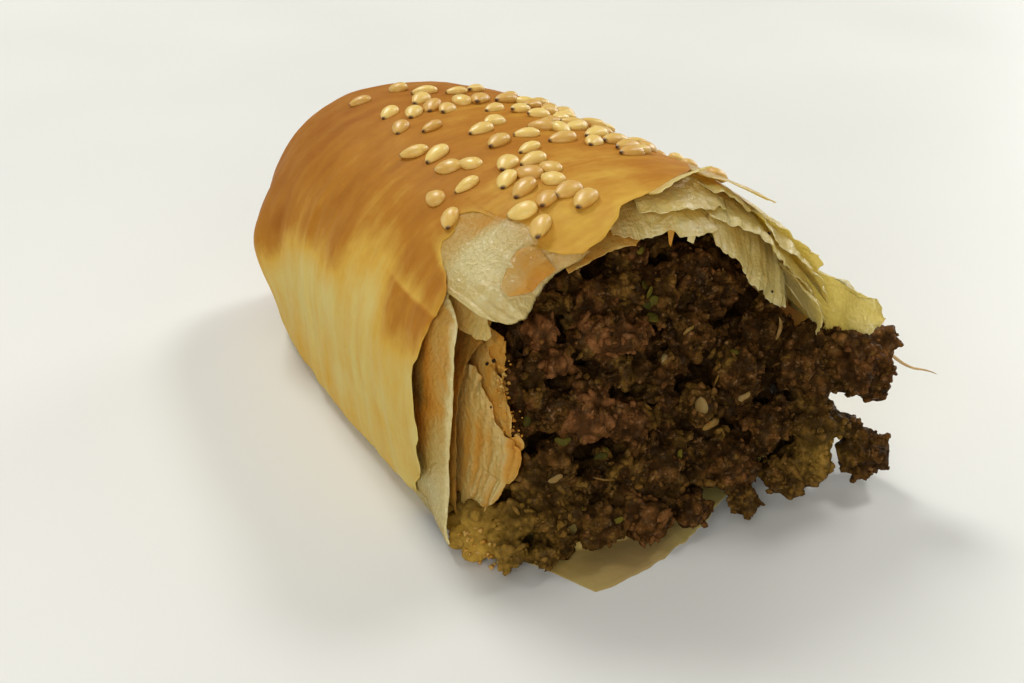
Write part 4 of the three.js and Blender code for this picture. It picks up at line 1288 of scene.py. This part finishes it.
# Soaked lumps in the left corner, likewise
CORNER_LUMPS = (
    (-18.4, -30.6, 2.4, 1.5, 0.0, 1.0), (-18.0, -29.8, 4.6, 1.5, 0.0, 1.0),
    (-17.0, -32.0, 3.0, 1.5, 0.1, 1.0), (-19.3, -29.2, 1.5, 1.4, 0.0, 1.0),
    (-18.8, -30.8, 1.2, 1.4, 0.0, 1.0), (-17.0, -32.2, 1.2, 1.4, 0.0, 1.0),
    (-15.6, -33.0, 1.2, 1.4, 0.1, 0.9), (-14.2, -33.6, 1.2, 1.4, 0.1, 0.8),
    (-12.8, -34.1, 1.2, 1.4, 0.2, 0.7), (-11.4, -34.5, 1.2, 1.4, 0.2, 0.6),
    (-18.2, -29.0, 3.4, 1.4, 0.0, 1.0), (-18.8, -27.2, 2.0, 1.3, 0.0, 1.0),
    (-18.4, -27.4, 4.0, 1.2, 0.0, 1.0), (-16.4, -31.4, 3.2, 1.3, 0.1, 1.0),
)
FACE_LUMP_SIZE, FACE_LUMP_SUNK, FACE_LUMP_STAND = 0.86, 0.55, 0.3
# Small lumps that fill the face between the larger ones
FILL_LAYERS = ((150, (0.6, 1.5), (-0.5, 1.2)), (170, (1.0, 2.0), (1.2, 3.4)))  # count, radius, way back
FILL_INSIDE, FILL_ROSY = 0.7, 0.45
# Soaked mince: x, z and spread of the corner, then z, spread and share along the base
SOAKED_CORNER, SOAKED_BASE = (-16.0, 3.0, 5.0), (1.0, 2.5, 0.9)
# The body behind the lumps: share of the way out and of the way back for each of its rings
SLAB_RINGS = (
    (0.0, 0.0), (0.35, 0.0), (0.65, 0.0), (0.9, 0.0), (1.0, 0.25), (1.0, 0.6), (1.0, 1.0), (0.6, 1.0),
    (0.0, 1.0),
)
SLAB_COLUMNS, SLAB_SUNK, SLAB_DEPTH, CORE_GAP = 48, 4.0, 6.0, 0.3
CORE_COLUMNS, CORE_STRAIGHT, CORE_FOLDED = 72, 6, 8
MINCE_DRAW = 7
# Where mince and pastry are mixed: place in mm, spread, and share
MUSH_PLACES = (((-19.2, -30.6, 1.6), 4.8, 1.0), ((16.6, -36.4, 4.6), 2.8, 0.5))
# The broken face lies further back under the roof and behind the flap on the left
FACE_WIDTH, FACE_HEIGHT = 15.5, 16.5
ROOF_BACK, ROOF_OUT, ROOF_UP = 2.4, (0.62, 1.0), (13.0, 20.0)
FLAP_BACK, FLAP_OUT, FLAP_UP, FLAP_DOWN = 1.8, (-11.5, -15.0), (3.0, 6.5), (19.0, 14.0)
# The mince's form: squash and knobs of its lumps, warps of its crumb, then the crumb's sizes and heights
LUMP_DETAIL, LUMP_SQUASH, LUMP_KNOBS = 3, (0.72, 1.12), (2.4, 13.0, 0.30, 1.6, 61, 3)
CRUMB_WARPS = ((1.7, 0.75, 67), (0.7, 0.28, 70))
COARSE_CRUMB, FINE_CRUMB, CRUMB_LEVEL, CRUMB_OUT = (1.6, 62), (0.7, 66), 0.46, 0.35
COARSE_HEIGHT, FINE_HEIGHT = 0.85, 0.18
MINCE_ROUGH = ((0.46, 1.1, 63, 3),)
PIT_DEPTH, PIT_RANGE, PIT_NOISE = 0.6, (0.2, 0.6), (2.6, 64, 2)
# Beyond this x no sheet lies under the mince, which then reaches down to the floor
RIGHT_OF_BASE, FLOOR_GAP = 17.0, 0.03
CHUNK = 8192  # points that are compared with all lumps at a time
# Painted shade: the mince darkens with depth behind the broken face and in the creases between crumbs
PAINTED_SHADE_DEPTHS, CREASE_SHADE_RANGE, CREASE_PAINTED_SHADE, MUSH_CLEAR = (0.3, 2.0), (0.34, 0.62), 0.9, 0.9
# How rosy and ochre the least crumb is, and how much more the most
LEAST_ROSY, MORE_ROSY, LEAST_OCHRE, MORE_OCHRE = 0.45, 0.65, 0.5, 0.8


def hollow(x, z):
    """How far the broken face lies back under the roof of sheets, and behind the flap on the left."""
    out = np.hypot(x / FACE_WIDTH, (z - MIDDLE_Z) / FACE_HEIGHT)
    roof = ROOF_BACK * ramp(*ROOF_OUT, out) * ramp(*ROOF_UP, z)
    return roof + FLAP_BACK * ramp(*FLAP_OUT, x) * ramp(*FLAP_UP, z) * ramp(*FLAP_DOWN, z)


def soaking(x, z):
    """How much spice and fat has soaked the mince: most in the left corner and along the base."""
    corner_x, corner_z, corner_spread = SOAKED_CORNER
    base_z, base_spread, base_share = SOAKED_BASE
    corner = hill(x - corner_x, corner_spread) * hill(z - corner_z, corner_spread)
    return corner + base_share * hill(z - base_z, base_spread)


def face_rim(angle):
    """Where the filling meets the wall at the mouth."""
    return skin(angle, np.full_like(angle, CUT_Y), wall_thickness(angle) + FILLING_GAP)


def mince_lumps():
    """Every lump's middle, radius, and how rosy and how ochre it is."""
    draw = np.random.default_rng(MINCE_DRAW)
    lumps = []
    for x, z, radius, stand, rosy, ochre in FACE_LUMPS:
        y = face_y(x, z) + hollow(x, z) + radius * FACE_LUMP_SUNK - stand - FACE_LUMP_STAND
        lumps.append((x, y, z, radius * FACE_LUMP_SIZE, rosy, ochre))
    lumps.extend(HANGING_LUMPS + CORNER_LUMPS)
    for count, radii, back in FILL_LAYERS:
        wanted = len(lumps) + count
        while len(lumps) < wanted:
            angle = draw.uniform(0.0, 360.0)
            reach = math.sqrt(draw.random())
            rim = face_rim(np.array(angle))
            radius = draw.uniform(*radii)
            x = rim[0] * reach
            z = MIDDLE_Z + (rim[2] - MIDDLE_Z) * reach
            edge = np.hypot(rim[0], rim[2] - MIDDLE_Z) * (1.0 - reach)
            if edge > radius * FILL_INSIDE and z > radius:
                ochre = min(1.0, soaking(x, z) + draw.random() ** 2)
                y = face_y(x, z) + hollow(x, z) + draw.uniform(*back)
                lumps.append((x, y, z, radius, FILL_ROSY * draw.random(), ochre))
    return np.array(lumps)


def mince_slab(heap):
    """The body of mince that the lumps sit on, a little behind the broken face."""
    shape = ball(SLAB_COLUMNS, len(SLAB_RINGS) - 1)
    angle = shape.column * 360.0 / SLAB_COLUMNS
    out, back = np.array(SLAB_RINGS)[shape.row].T
    rim = face_rim(angle)
    x = rim[:, 0] * out
    z = MIDDLE_Z + (rim[:, 2] - MIDDLE_Z) * out
    y = face_y(x, z) + hollow(x, z) * (1.0 - back) + SLAB_SUNK + back * SLAB_DEPTH
    heap.add(stacked(x, y, z), shape.faces)


def one_skin(heap, name, voxel):
    """Melts a heap of shapes into one mesh."""
    rough_mesh = heap.mesh(name + "_lumps")
    maker = linked(name + "_lumps", rough_mesh)
    remesh = maker.modifiers.new("one skin", "REMESH")
    remesh.mode = "VOXEL"
    remesh.voxel_size = voxel
    held = maker.evaluated_get(bpy.context.evaluated_depsgraph_get())
    mesh = bpy.data.meshes.new_from_object(held)
    mesh.name = name
    bpy.data.objects.remove(maker)
    bpy.data.meshes.remove(rough_mesh)
    return mesh


def nearest_lumps(points, lumps):
    """The number of the lump that each point belongs to."""
    nearest = np.empty(len(points), int)
    for first in range(0, len(points), CHUNK):
        chunk = points[first:first + CHUNK]
        gap = np.linalg.norm(chunk[:, None, :] - lumps[None, :, :3], axis=-1) / lumps[None, :, 3]
        nearest[first:first + CHUNK] = np.argmin(gap, axis=1)
    return nearest


def mince_mesh(settings):
    """Lumps melted into one mesh, then broken up into crumb."""
    lumps = mince_lumps()
    draw = np.random.default_rng(MINCE_DRAW + 1)
    form = lump_ball(LUMP_DETAIL)
    heap = Heap()
    mince_slab(heap)
    for index, lump in enumerate(lumps):
        laid = form.points * lump[3] * draw.uniform(*LUMP_SQUASH, 3)
        heap.add(lump[:3] + laid * knobs(form.points, index, LUMP_KNOBS), form.faces)
    mesh = one_skin(heap, "mince", settings.voxel)
    points, normals = points_and_normals(mesh)
    bent = points
    for warp in CRUMB_WARPS:
        bent = warped(bent, *warp)
    coarse, kind = granules(bent + CRUMB_OUT * normals, *COARSE_CRUMB)
    fine, _ = granules(bent, *FINE_CRUMB)
    stand = COARSE_HEIGHT * (CRUMB_LEVEL - coarse) + FINE_HEIGHT * (CRUMB_LEVEL - fine)
    stand = raised(stand, points, MINCE_ROUGH)
    stand = stand - PIT_DEPTH * ramp(*PIT_RANGE, rough(points, *PIT_NOISE))
    points = points + normals * stand[:, None]
    x, y, z = points.T
    points[:, 2] = np.maximum(z, np.where(x > RIGHT_OF_BASE, FLOOR_GAP, BASE_TOP))
    move_points(mesh, points)
    rosy, ochre = lumps[nearest_lumps(points, lumps), 4:].T
    set_mark(mesh, "rosy", rosy * (LEAST_ROSY + MORE_ROSY * kind))
    set_mark(mesh, "ochre", np.clip(ochre * (LEAST_OCHRE + MORE_OCHRE * kind), 0.0, 1.0))
    mush = sum(
        by * hill(np.linalg.norm(points - np.array(at), axis=-1), spread) for at, spread, by in MUSH_PLACES
    )
    set_mark(mesh, "mush", mush)
    # Painted shade in the gaps behind the face and in the creases, kept off the mush
    depth = ramp(*PAINTED_SHADE_DEPTHS, y - face_y(x, z) - hollow(x, z))
    deep = np.maximum(depth, CREASE_PAINTED_SHADE * ramp(*CREASE_SHADE_RANGE, coarse))
    set_mark(mesh, "deep", deep * (1.0 - MUSH_CLEAR * np.minimum(mush, 1.0)))
    return mesh


def mince_core_mesh():
    """The plain run of mince behind, hidden in the roll."""
    angle = np.arange(CORE_COLUMNS) * 360.0 / CORE_COLUMNS
    inset = wall_thickness(angle) + FILLING_GAP
    rim = face_rim(angle)
    tip_y = TIP_Y - FILLING_TIP_GAP
    laid = []
    for share in (0.0, 0.5, 1.0):
        x = rim[:, 0] * share
        z = MIDDLE_Z + (rim[:, 2] - MIDDLE_Z) * share
        start = face_y(x, z) + SLAB_SUNK + SLAB_DEPTH + CORE_GAP
        laid.append(stacked(x, start, z))
    for i in range(1, CORE_STRAIGHT + 1):
        laid.append(skin(angle, start + (CLOSE_Y - start) * i / CORE_STRAIGHT, inset))
    for i in range(1, CORE_FOLDED + 1):
        y = CLOSE_Y + (tip_y - CLOSE_Y) * math.sin(math.pi / 2 * i / CORE_FOLDED)
        laid.append(skin(angle, np.full_like(angle, y), inset, tip_y))
    shape = ball(CORE_COLUMNS, len(laid) - 1)
    heap = Heap()
    points = np.array(laid)[shape.row, shape.column]
    # The hidden core is painted wholly in shade
    heap.add(points, shape.faces, rosy=0.2, ochre=0.2, mush=0.0, deep=1.0)
    return heap.mesh("mince_core")


def mince_finish(settings):
    finish = Finish("spiced_mince")
    mottle = finish.noise(1.3, detail=5.0, roughness=0.7)
    crumb = finish.noise(0.45, roughness=0.65)
    flecks = finish.noise(0.9, detail=4.0, roughness=0.75)
    rosy = finish.vary(finish.mark("rosy"), mottle, 0.50)
    meat = finish.colours(rosy, ((0.0, settings.dark), (0.36, settings.brown), (0.95, settings.rosy)))
    soaked = finish.math("MULTIPLY", finish.mark("ochre"), finish.spread(crumb, 0.35, 0.6, 0.15, 1.0))
    soaked = finish.math("MAXIMUM", soaked, finish.spread(flecks, 0.56, 0.70, 0.0, 0.8))
    meat = finish.mix(soaked, meat, settings.ochre)
    # Pale flecks: fat, and painted highlights on the lumps
    pale = finish.spread(finish.noise(0.55, roughness=0.7), 0.58, 0.72, 0.0, 0.55)
    meat = finish.mix(pale, meat, settings.fat)
    gold = finish.math("MULTIPLY", finish.mark("mush"), finish.spread(mottle, 0.35, 0.65, 0.55, 1.0))
    meat = finish.mix(gold, meat, settings.mush)
    # The deep mark paints shade with the dark colour
    deep = finish.spread(finish.mark("deep"), 0.0, 1.0, 0.0, 0.8)
    finish.feed("Base Color", finish.mix(deep, meat, settings.dark))
    wet = finish.noise(0.8)
    finish.feed("Roughness", finish.spread(wet, 0.45, 0.65, 0.72, 0.30))
    finish.feed("Specular IOR Level", finish.spread(wet, 0.50, 0.68, 0.05, 0.26))
    finish.set(Specular_Tint=(*settings.juice, 1.0), Specular_IOR_Level=0.12)
    grit = finish.noise(0.35, detail=4.0, roughness=0.7)
    grit = finish.math("ADD", grit, finish.math("MULTIPLY", finish.cells(0.8), 0.8))
    finish.bump(grit, strength=0.8, depth=0.22)
    return finish.material


# Grains on the mince: how many, how far behind the face, and how much they may face the back
GRAIN_COUNT, GRAIN_DRAW, GRAIN_BACK, GRAIN_FACING = 1300, 81, 1.2, 0.2
GRAIN_SIZES, GRAIN_STRETCH, GRAIN_JITTER = (0.16, 0.48), (0.5, 1.3), (0.6, 1.3)
GRAIN_WARMTH, GRAIN_DEEP = (-0.1, 0.2), (0.0, 0.3)
# Some grains are long shreds, but not beyond that x
SHRED_SHARE, SHRED_STRETCH, SHRED_RIGHT = 0.3, 2.4, 14.0
LOWEST = 0.02  # z of the lowest bits that lie loose
# Onion and herb that the photograph shows: pixels, the way they point there in degrees, and their length,
# width and thickness in mm
ONION_SPOTS = (
    (607, 480, -7, 3.8, 0.20, 0.18), (715, 381, 62, 2.4, 0.24, 0.2), (700, 406, 75, 2.2, 1.3, 0.5),
    (713, 424, 25, 2.6, 0.9, 0.5), (780, 330, 82, 2.4, 0.6, 0.4), (663, 358, 70, 1.2, 0.6, 0.3),
    (744, 398, 50, 1.6, 0.6, 0.4), (556, 480, 20, 1.4, 0.6, 0.3), (690, 330, 40, 1.4, 0.4, 0.3),
)
HERB_SPOTS = (
    (645, 284, 60, 1.6, 0.9, 0.2), (650, 293, 75, 1.6, 1.0, 0.2), (654, 302, 40, 1.4, 1.0, 0.2),
    (647, 305, -30, 1.2, 0.8, 0.2), (653, 320, 10, 1.6, 1.1, 0.2), (600, 457, 20, 1.3, 0.7, 0.2),
    (607, 450, 50, 1.0, 0.6, 0.2), (563, 443, 0, 1.5, 0.8, 0.2), (585, 508, 30, 0.9, 0.5, 0.2),
    (682, 455, 60, 1.1, 0.6, 0.2), (735, 350, 20, 1.0, 0.6, 0.2), (525, 420, 80, 1.2, 0.7, 0.2),
    (640, 252, 45, 0.9, 0.5, 0.2), (620, 520, 20, 1.0, 0.6, 0.2),
)
# Draws and bends of the onion and the herb, and how slivers are dented, lifted and swayed
ONION_DRAW, ONION_BENDS = 91, (0.05, 0.3)
HERB_DRAW, HERB_BENDS = 92, (0.0, 0.2)
SLIVER_BALL = (10, 12)
SLIVER_STRETCH, SLIVER_STEP, SLIVER_DENTS, SLIVER_DENT_SIZE = 1.0, 3.0, 0.25, 0.8
SLIVER_LIFT, BEND_LIFT, BEND_SWAY, SWAY_TURNS, SWAY_START = 0.10, 0.4, 0.5, 3.0, 6.0
ASLANT = (0.31, 0.17, 0.93)  # a direction that no normal of the mince quite has
# The thread of meat that sticks out at the lower right, in mm, and its radii
THREAD_PATH = ((22.8, -35.6, 13.6), (24.4, -36.8, 13.4), (25.3, -38.8, 12.9), (25.8, -41.3, 13.2))
THREAD_RADIUS = (0.24, 0.08)
THREAD_COLUMNS, THREAD_ROWS, THREAD_ENDS, THREAD_POWER = 8, 30, (0.02, 0.98), 0.3
THREAD_WAVE, THREAD_TURNS, THREAD_SWING = 0.12, 9.0, (0.6, 0.0, 1.0)
THREAD_KNOBS, THREAD_TONES = ((0.3, 0.6, 95, 2),), 0.4


def grain_mesh(mince):
    """Small crumbs that cling to the lumps and share their colour."""
    draw = np.random.default_rng(GRAIN_DRAW)
    form = lump_ball(CRUMB_DETAIL)
    heap = Heap()
    points, normals = points_and_normals(mince)
    rosy, ochre, mush = (read_mark(mince, name) for name in ("rosy", "ochre", "mush"))
    x, y, z = points.T
    front = (y < face_y(x, z) + hollow(x, z) + GRAIN_BACK) & (normals[:, 1] < GRAIN_FACING)
    for spot in draw.choice(np.flatnonzero(front), GRAIN_COUNT, replace=False):
        size = draw.uniform(*GRAIN_SIZES) * draw.uniform(*GRAIN_STRETCH, 3)
        crumb = form.points * draw.uniform(*GRAIN_JITTER, form.points.shape) * size
        if draw.random() < SHRED_SHARE and x[spot] < SHRED_RIGHT:
            way = unit(draw.normal(size=3))
            crumb = crumb + (SHRED_STRETCH - 1.0) * (crumb @ way)[:, None] * way
        crumb = points[spot] + crumb
        crumb[:, 2] = np.maximum(crumb[:, 2], LOWEST)
        warm = np.clip(rosy[spot] + draw.uniform(*GRAIN_WARMTH), 0.0, 1.0)
        deep = draw.uniform(*GRAIN_DEEP)
        heap.add(crumb, form.faces, rosy=warm, ochre=ochre[spot], mush=mush[spot], deep=deep)
    return heap.mesh("mince_grains")


def picture_way(foot, normal, heading):
    """The way along a surface that shows at that heading in the photograph."""
    first = unit(np.cross(normal, ASLANT))
    second = np.cross(normal, first)
    one, two = heading_shares(foot, first, second, heading)
    return unit(one * first + two * second)


def sliver_mesh(name, mince, spots, bends, start):
    """Flat bent slivers that lie on the mince."""
    draw = np.random.default_rng(start)
    kind = (SLIVER_STRETCH, SLIVER_STEP, SLIVER_DENTS, SLIVER_DENT_SIZE, start, 2)
    form = ball(*SLIVER_BALL)
    form.points = form.points[:, [2, 0, 1]]
    points, normals = points_and_normals(mince)
    heap = Heap()
    for across, down, heading, long, wide, thick in spots:
        spot = seen_spot(points, across, down)
        foot, normal = points[spot], normals[spot]
        way = picture_way(foot, normal, heading)
        side = np.cross(normal, way)
        bend = draw.uniform(*bends)
        dented = form.points * knobs(form.points, down, kind)
        along, over, up = (dented * np.array([long, wide, thick]) * 0.5).T
        share = 2.0 * along / long
        rise = up + SLIVER_LIFT + BEND_LIFT * bend - bend * share**2
        sway = over + BEND_SWAY * bend * np.sin(SWAY_TURNS * share + draw.random() * SWAY_START)
        laid = foot + along[:, None] * way + sway[:, None] * side + rise[:, None] * normal
        laid[:, 2] = np.maximum(laid[:, 2], LOWEST)
        heap.add(laid, form.faces, tone=draw.random())
    return heap.mesh(name)


def thread_mesh():
    """A bent thread of meat, thinner towards its free end."""
    form = ball(THREAD_COLUMNS, THREAD_ROWS)
    share = form.row / THREAD_ROWS
    path = np.array(THREAD_PATH)
    places = [np.interp(share, np.linspace(0.0, 1.0, len(path)), values) for values in path.T]
    wave = THREAD_WAVE * np.sin(THREAD_TURNS * share)
    middle = np.stack(places, axis=-1) + wave[:, None] * np.array(THREAD_SWING)
    ends = np.sin(math.pi * np.clip(share, *THREAD_ENDS)) ** THREAD_POWER
    thick = np.interp(share, (0.0, 1.0), THREAD_RADIUS) * ends * raised(1.0, middle, THREAD_KNOBS)
    around = form.column / THREAD_COLUMNS * 2.0 * math.pi
    out = stacked(np.cos(around), 0.0, np.sin(around))
    heap = Heap()
    heap.add(middle + out * thick[:, None], form.faces, tone=THREAD_TONES * share)
    return heap.mesh("meat_thread")


def garnish_finish(name, first, second, roughness, glow):
    """Onion, herb, pepper and the thread: a tone for each bit, mottled."""
    finish = Finish(name)
    mottle = finish.noise(0.8)
    tone = finish.vary(finish.mark("tone"), mottle, 0.3)
    finish.feed("Base Color", finish.colours(tone, ((0.0, first), (1.0, second))))
    finish.feed("Roughness", finish.spread(mottle, *NOISE_RANGE, roughness - 0.1, roughness + 0.1))
    finish.set(Subsurface_Weight=glow, Subsurface_Scale=0.0008, Specular_IOR_Level=0.12)
    finish.bump(finish.noise(0.4), strength=0.5, depth=0.12)
    return finish.material


class BRIOUAT_OT_crust(bpy.types.Operator):
    """Lay the baked outer sheet, from the folded end to its torn edge"""

    bl_idname = "briouat.crust"
    bl_label = "Crust"

    def execute(self, context):
        settings = context.scene.briouat_crust
        keep_piece("crust", crust_mesh(settings), crust_finish(settings), "pastry")
        return {"FINISHED"}


class BRIOUAT_OT_sheets(bpy.types.Operator):
    """Lay the torn filo sheets in the wall, with their crumbs and pepper"""

    bl_idname = "briouat.sheets"
    bl_label = "Torn sheets"

    def execute(self, context):
        settings = context.scene.briouat_sheets
        pleat = context.scene.briouat_crust.pleat / MM
        finish = filo_finish(settings)
        wall = Heap()
        for index, sheet in enumerate(TORN_SHEETS.values()):
            torn_sheet(wall, sheet, SHEET_START + SHEET_START_STEP * index, settings, pleat)
        sheets = wall.mesh("torn_sheets")
        keep_piece("torn_sheets", sheets, finish, "pastry")
        keep_piece("pastry_crumbs", crumb_mesh(), finish, "pastry")
        pepper = garnish_finish("ground_pepper", settings.pepper, settings.pepper_light, 0.6, 0.0)
        keep_piece("pepper_specks", pepper_mesh(sheets), pepper, "pastry")
        return {"FINISHED"}


class BRIOUAT_OT_sesame(bpy.types.Operator):
    """Scatter toasted sesame on the crown"""

    bl_idname = "briouat.sesame"
    bl_label = "Sesame"

    def execute(self, context):
        settings = context.scene.briouat_sesame
        pleat = context.scene.briouat_crust.pleat / MM
        keep_piece("sesame", sesame_mesh(settings, pleat), sesame_finish(settings), "pastry")
        return {"FINISHED"}


class BRIOUAT_OT_mince(bpy.types.Operator):
    """Heap the mince at the torn end, with its core, grains, thread, onion and herbs"""

    bl_idname = "briouat.mince"
    bl_label = "Mince"

    def execute(self, context):
        settings = context.scene.briouat_mince
        finish = mince_finish(settings)
        mince = mince_mesh(settings)
        keep_piece("mince", mince, finish, "filling")
        keep_piece("mince_core", mince_core_mesh(), finish, "filling")
        keep_piece("mince_grains", grain_mesh(mince), finish, "filling")
        thread_finish = garnish_finish("dry_meat", settings.thread, settings.ochre, 0.5, 0.1)
        keep_piece("meat_thread", thread_mesh(), thread_finish, "filling")
        onion = sliver_mesh("onion_slivers", mince, ONION_SPOTS, ONION_BENDS, ONION_DRAW)
        onion_finish = garnish_finish("soft_onion", settings.onion, settings.ochre, 0.45, 0.2)
        keep_piece("onion_slivers", onion, onion_finish, "filling")
        herb = sliver_mesh("herb_flecks", mince, HERB_SPOTS, HERB_BENDS, HERB_DRAW)
        herb_finish = garnish_finish("chopped_herb", settings.herb, settings.herb_light, 0.75, 0.1)
        keep_piece("herb_flecks", herb, herb_finish, "filling")
        return {"FINISHED"}


# Soft lights: name, where they stand and what they face in mm, size in mm, and power in watts
LIGHTS = (
    ("back", (-90.0, 984.0, 1132.0), (0.0, 0.0, 10.0), 480.0, 11.5),
    ("right", (930.0, 200.0, 1160.0), (0.0, 0.0, 10.0), 300.0, 6.0),
    ("right wall", (980.0, 420.0, 330.0), (0.0, 0.0, 12.0), 500.0, 4.0),
    ("front", (-250.0, -1150.0, 300.0), (8.0, -30.0, 18.0), 600.0, 3.0),
    ("left", (-990.0, -930.0, 630.0), (0.0, 0.0, 12.0), 900.0, 7.4),
    ("ceiling", (-150.0, -100.0, 1500.0), (0.0, 0.0, 0.0), 1000.0, 1.4),
    ("window", (-565.0, 834.0, 379.0), (-15.0, -24.0, 27.0), 160.0, 0.8),
)
SKY = (1.0, 0.98, 0.93)
SKY_STRENGTH = 0.18
FLOOR_SIZE = 6000.0
NEAREST_SEEN = 5.0


def stage_floor(tone):
    bm = bmesh.new()
    bmesh.ops.create_grid(bm, x_segments=4, y_segments=4, size=FLOOR_SIZE * 0.5 * MM)
    mesh = bpy.data.meshes.new("floor")
    bm.to_mesh(mesh)
    bm.free()
    finish = Finish("pale_floor")
    cloud = finish.noise(60.0, detail=2.0, roughness=0.5)
    finish.feed("Roughness", finish.spread(cloud, *NOISE_RANGE, 0.42, 0.55))
    finish.set(Base_Color=(*tone, 1.0), Specular_IOR_Level=0.3)
    mesh.materials.append(finish.material)
    linked("floor", mesh)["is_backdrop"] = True


def stage_lights():
    for name, place, aim, size, power in LIGHTS:
        lamp = bpy.data.lights.new(name, "AREA")
        lamp.shape = "DISK"
        lamp.size = size * MM
        lamp.energy = power
        held = linked(name, lamp)
        held.location = np.array(place) * MM
        away = held.location - Vector(aim) * MM
        held.rotation_euler = away.to_track_quat("Z", "Y").to_euler()


def soft_room():
    world = bpy.data.worlds.new("soft room")
    world.use_nodes = True
    sky = next(n for n in world.node_tree.nodes if n.type == "BACKGROUND")
    sky.inputs["Color"].default_value = (*SKY, 1.0)
    sky.inputs["Strength"].default_value = SKY_STRENGTH
    return world


def photo_camera():
    lens = bpy.data.cameras.new("camera")
    lens.sensor_width = SENSOR_WIDTH
    lens.lens = PHOTO_FOCUS / PHOTO_WIDTH * SENSOR_WIDTH
    lens.clip_start = NEAREST_SEEN * MM
    camera = linked("camera", lens)
    camera.location = np.array(CAMERA_PLACE) * MM
    camera.rotation_euler = CAMERA_ROTATION
    return camera


class BRIOUAT_OT_stage(bpy.types.Operator):
    """Set the pale floor, the soft lights and the photograph's camera"""

    bl_idname = "briouat.stage"
    bl_label = "Stage"

    def execute(self, context):
        scene = context.scene
        stage_floor(scene.briouat_stage.floor)
        stage_lights()
        scene.world = soft_room()
        scene.camera = photo_camera()
        scene.view_settings.view_transform = "Standard"
        return {"FINISHED"}


SETTINGS = {
    "briouat_crust": CrustSettings,
    "briouat_sheets": SheetSettings,
    "briouat_sesame": SesameSettings,
    "briouat_mince": MinceSettings,
    "briouat_stage": StageSettings,
}
OPERATORS = (
    BRIOUAT_OT_crust,
    BRIOUAT_OT_sheets,
    BRIOUAT_OT_sesame,
    BRIOUAT_OT_mince,
    BRIOUAT_OT_stage,
)


class BRIOUAT_PT_panel(bpy.types.Panel):
    """Lists the roll's pieces with the sizes and colours that can be changed"""

    bl_idname = "BRIOUAT_PT_panel"
    bl_label = "Briouat"
    bl_space_type = "VIEW_3D"
    bl_region_type = "UI"
    bl_category = "Briouat"

    def draw(self, context):
        for (name, group), operator in zip(SETTINGS.items(), OPERATORS):
            box = self.layout.box()
            box.operator(operator.bl_idname)
            for key in group.__annotations__:
                box.prop(getattr(context.scene, name), key)


def register():
    for name, group in SETTINGS.items():
        bpy.utils.register_class(group)
        setattr(bpy.types.Scene, name, bpy.props.PointerProperty(type=group))
    for operator in OPERATORS:
        bpy.utils.register_class(operator)
    bpy.utils.register_class(BRIOUAT_PT_panel)


def unregister():
    bpy.utils.unregister_class(BRIOUAT_PT_panel)
    for operator in reversed(OPERATORS):
        bpy.utils.unregister_class(operator)
    for name, group in reversed(SETTINGS.items()):
        delattr(bpy.types.Scene, name)
        bpy.utils.unregister_class(group)


def main():
    register()
    bpy.ops.briouat.crust()
    bpy.ops.briouat.sheets()
    bpy.ops.briouat.sesame()
    bpy.ops.briouat.mince()
    bpy.ops.briouat.stage()
    boxes = {"cad": CAD_BOX, "visual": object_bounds()}
    {name: [list(corner) for corner in box] for name, box in boxes.items()}


if __name__ == "__main__":
    main()
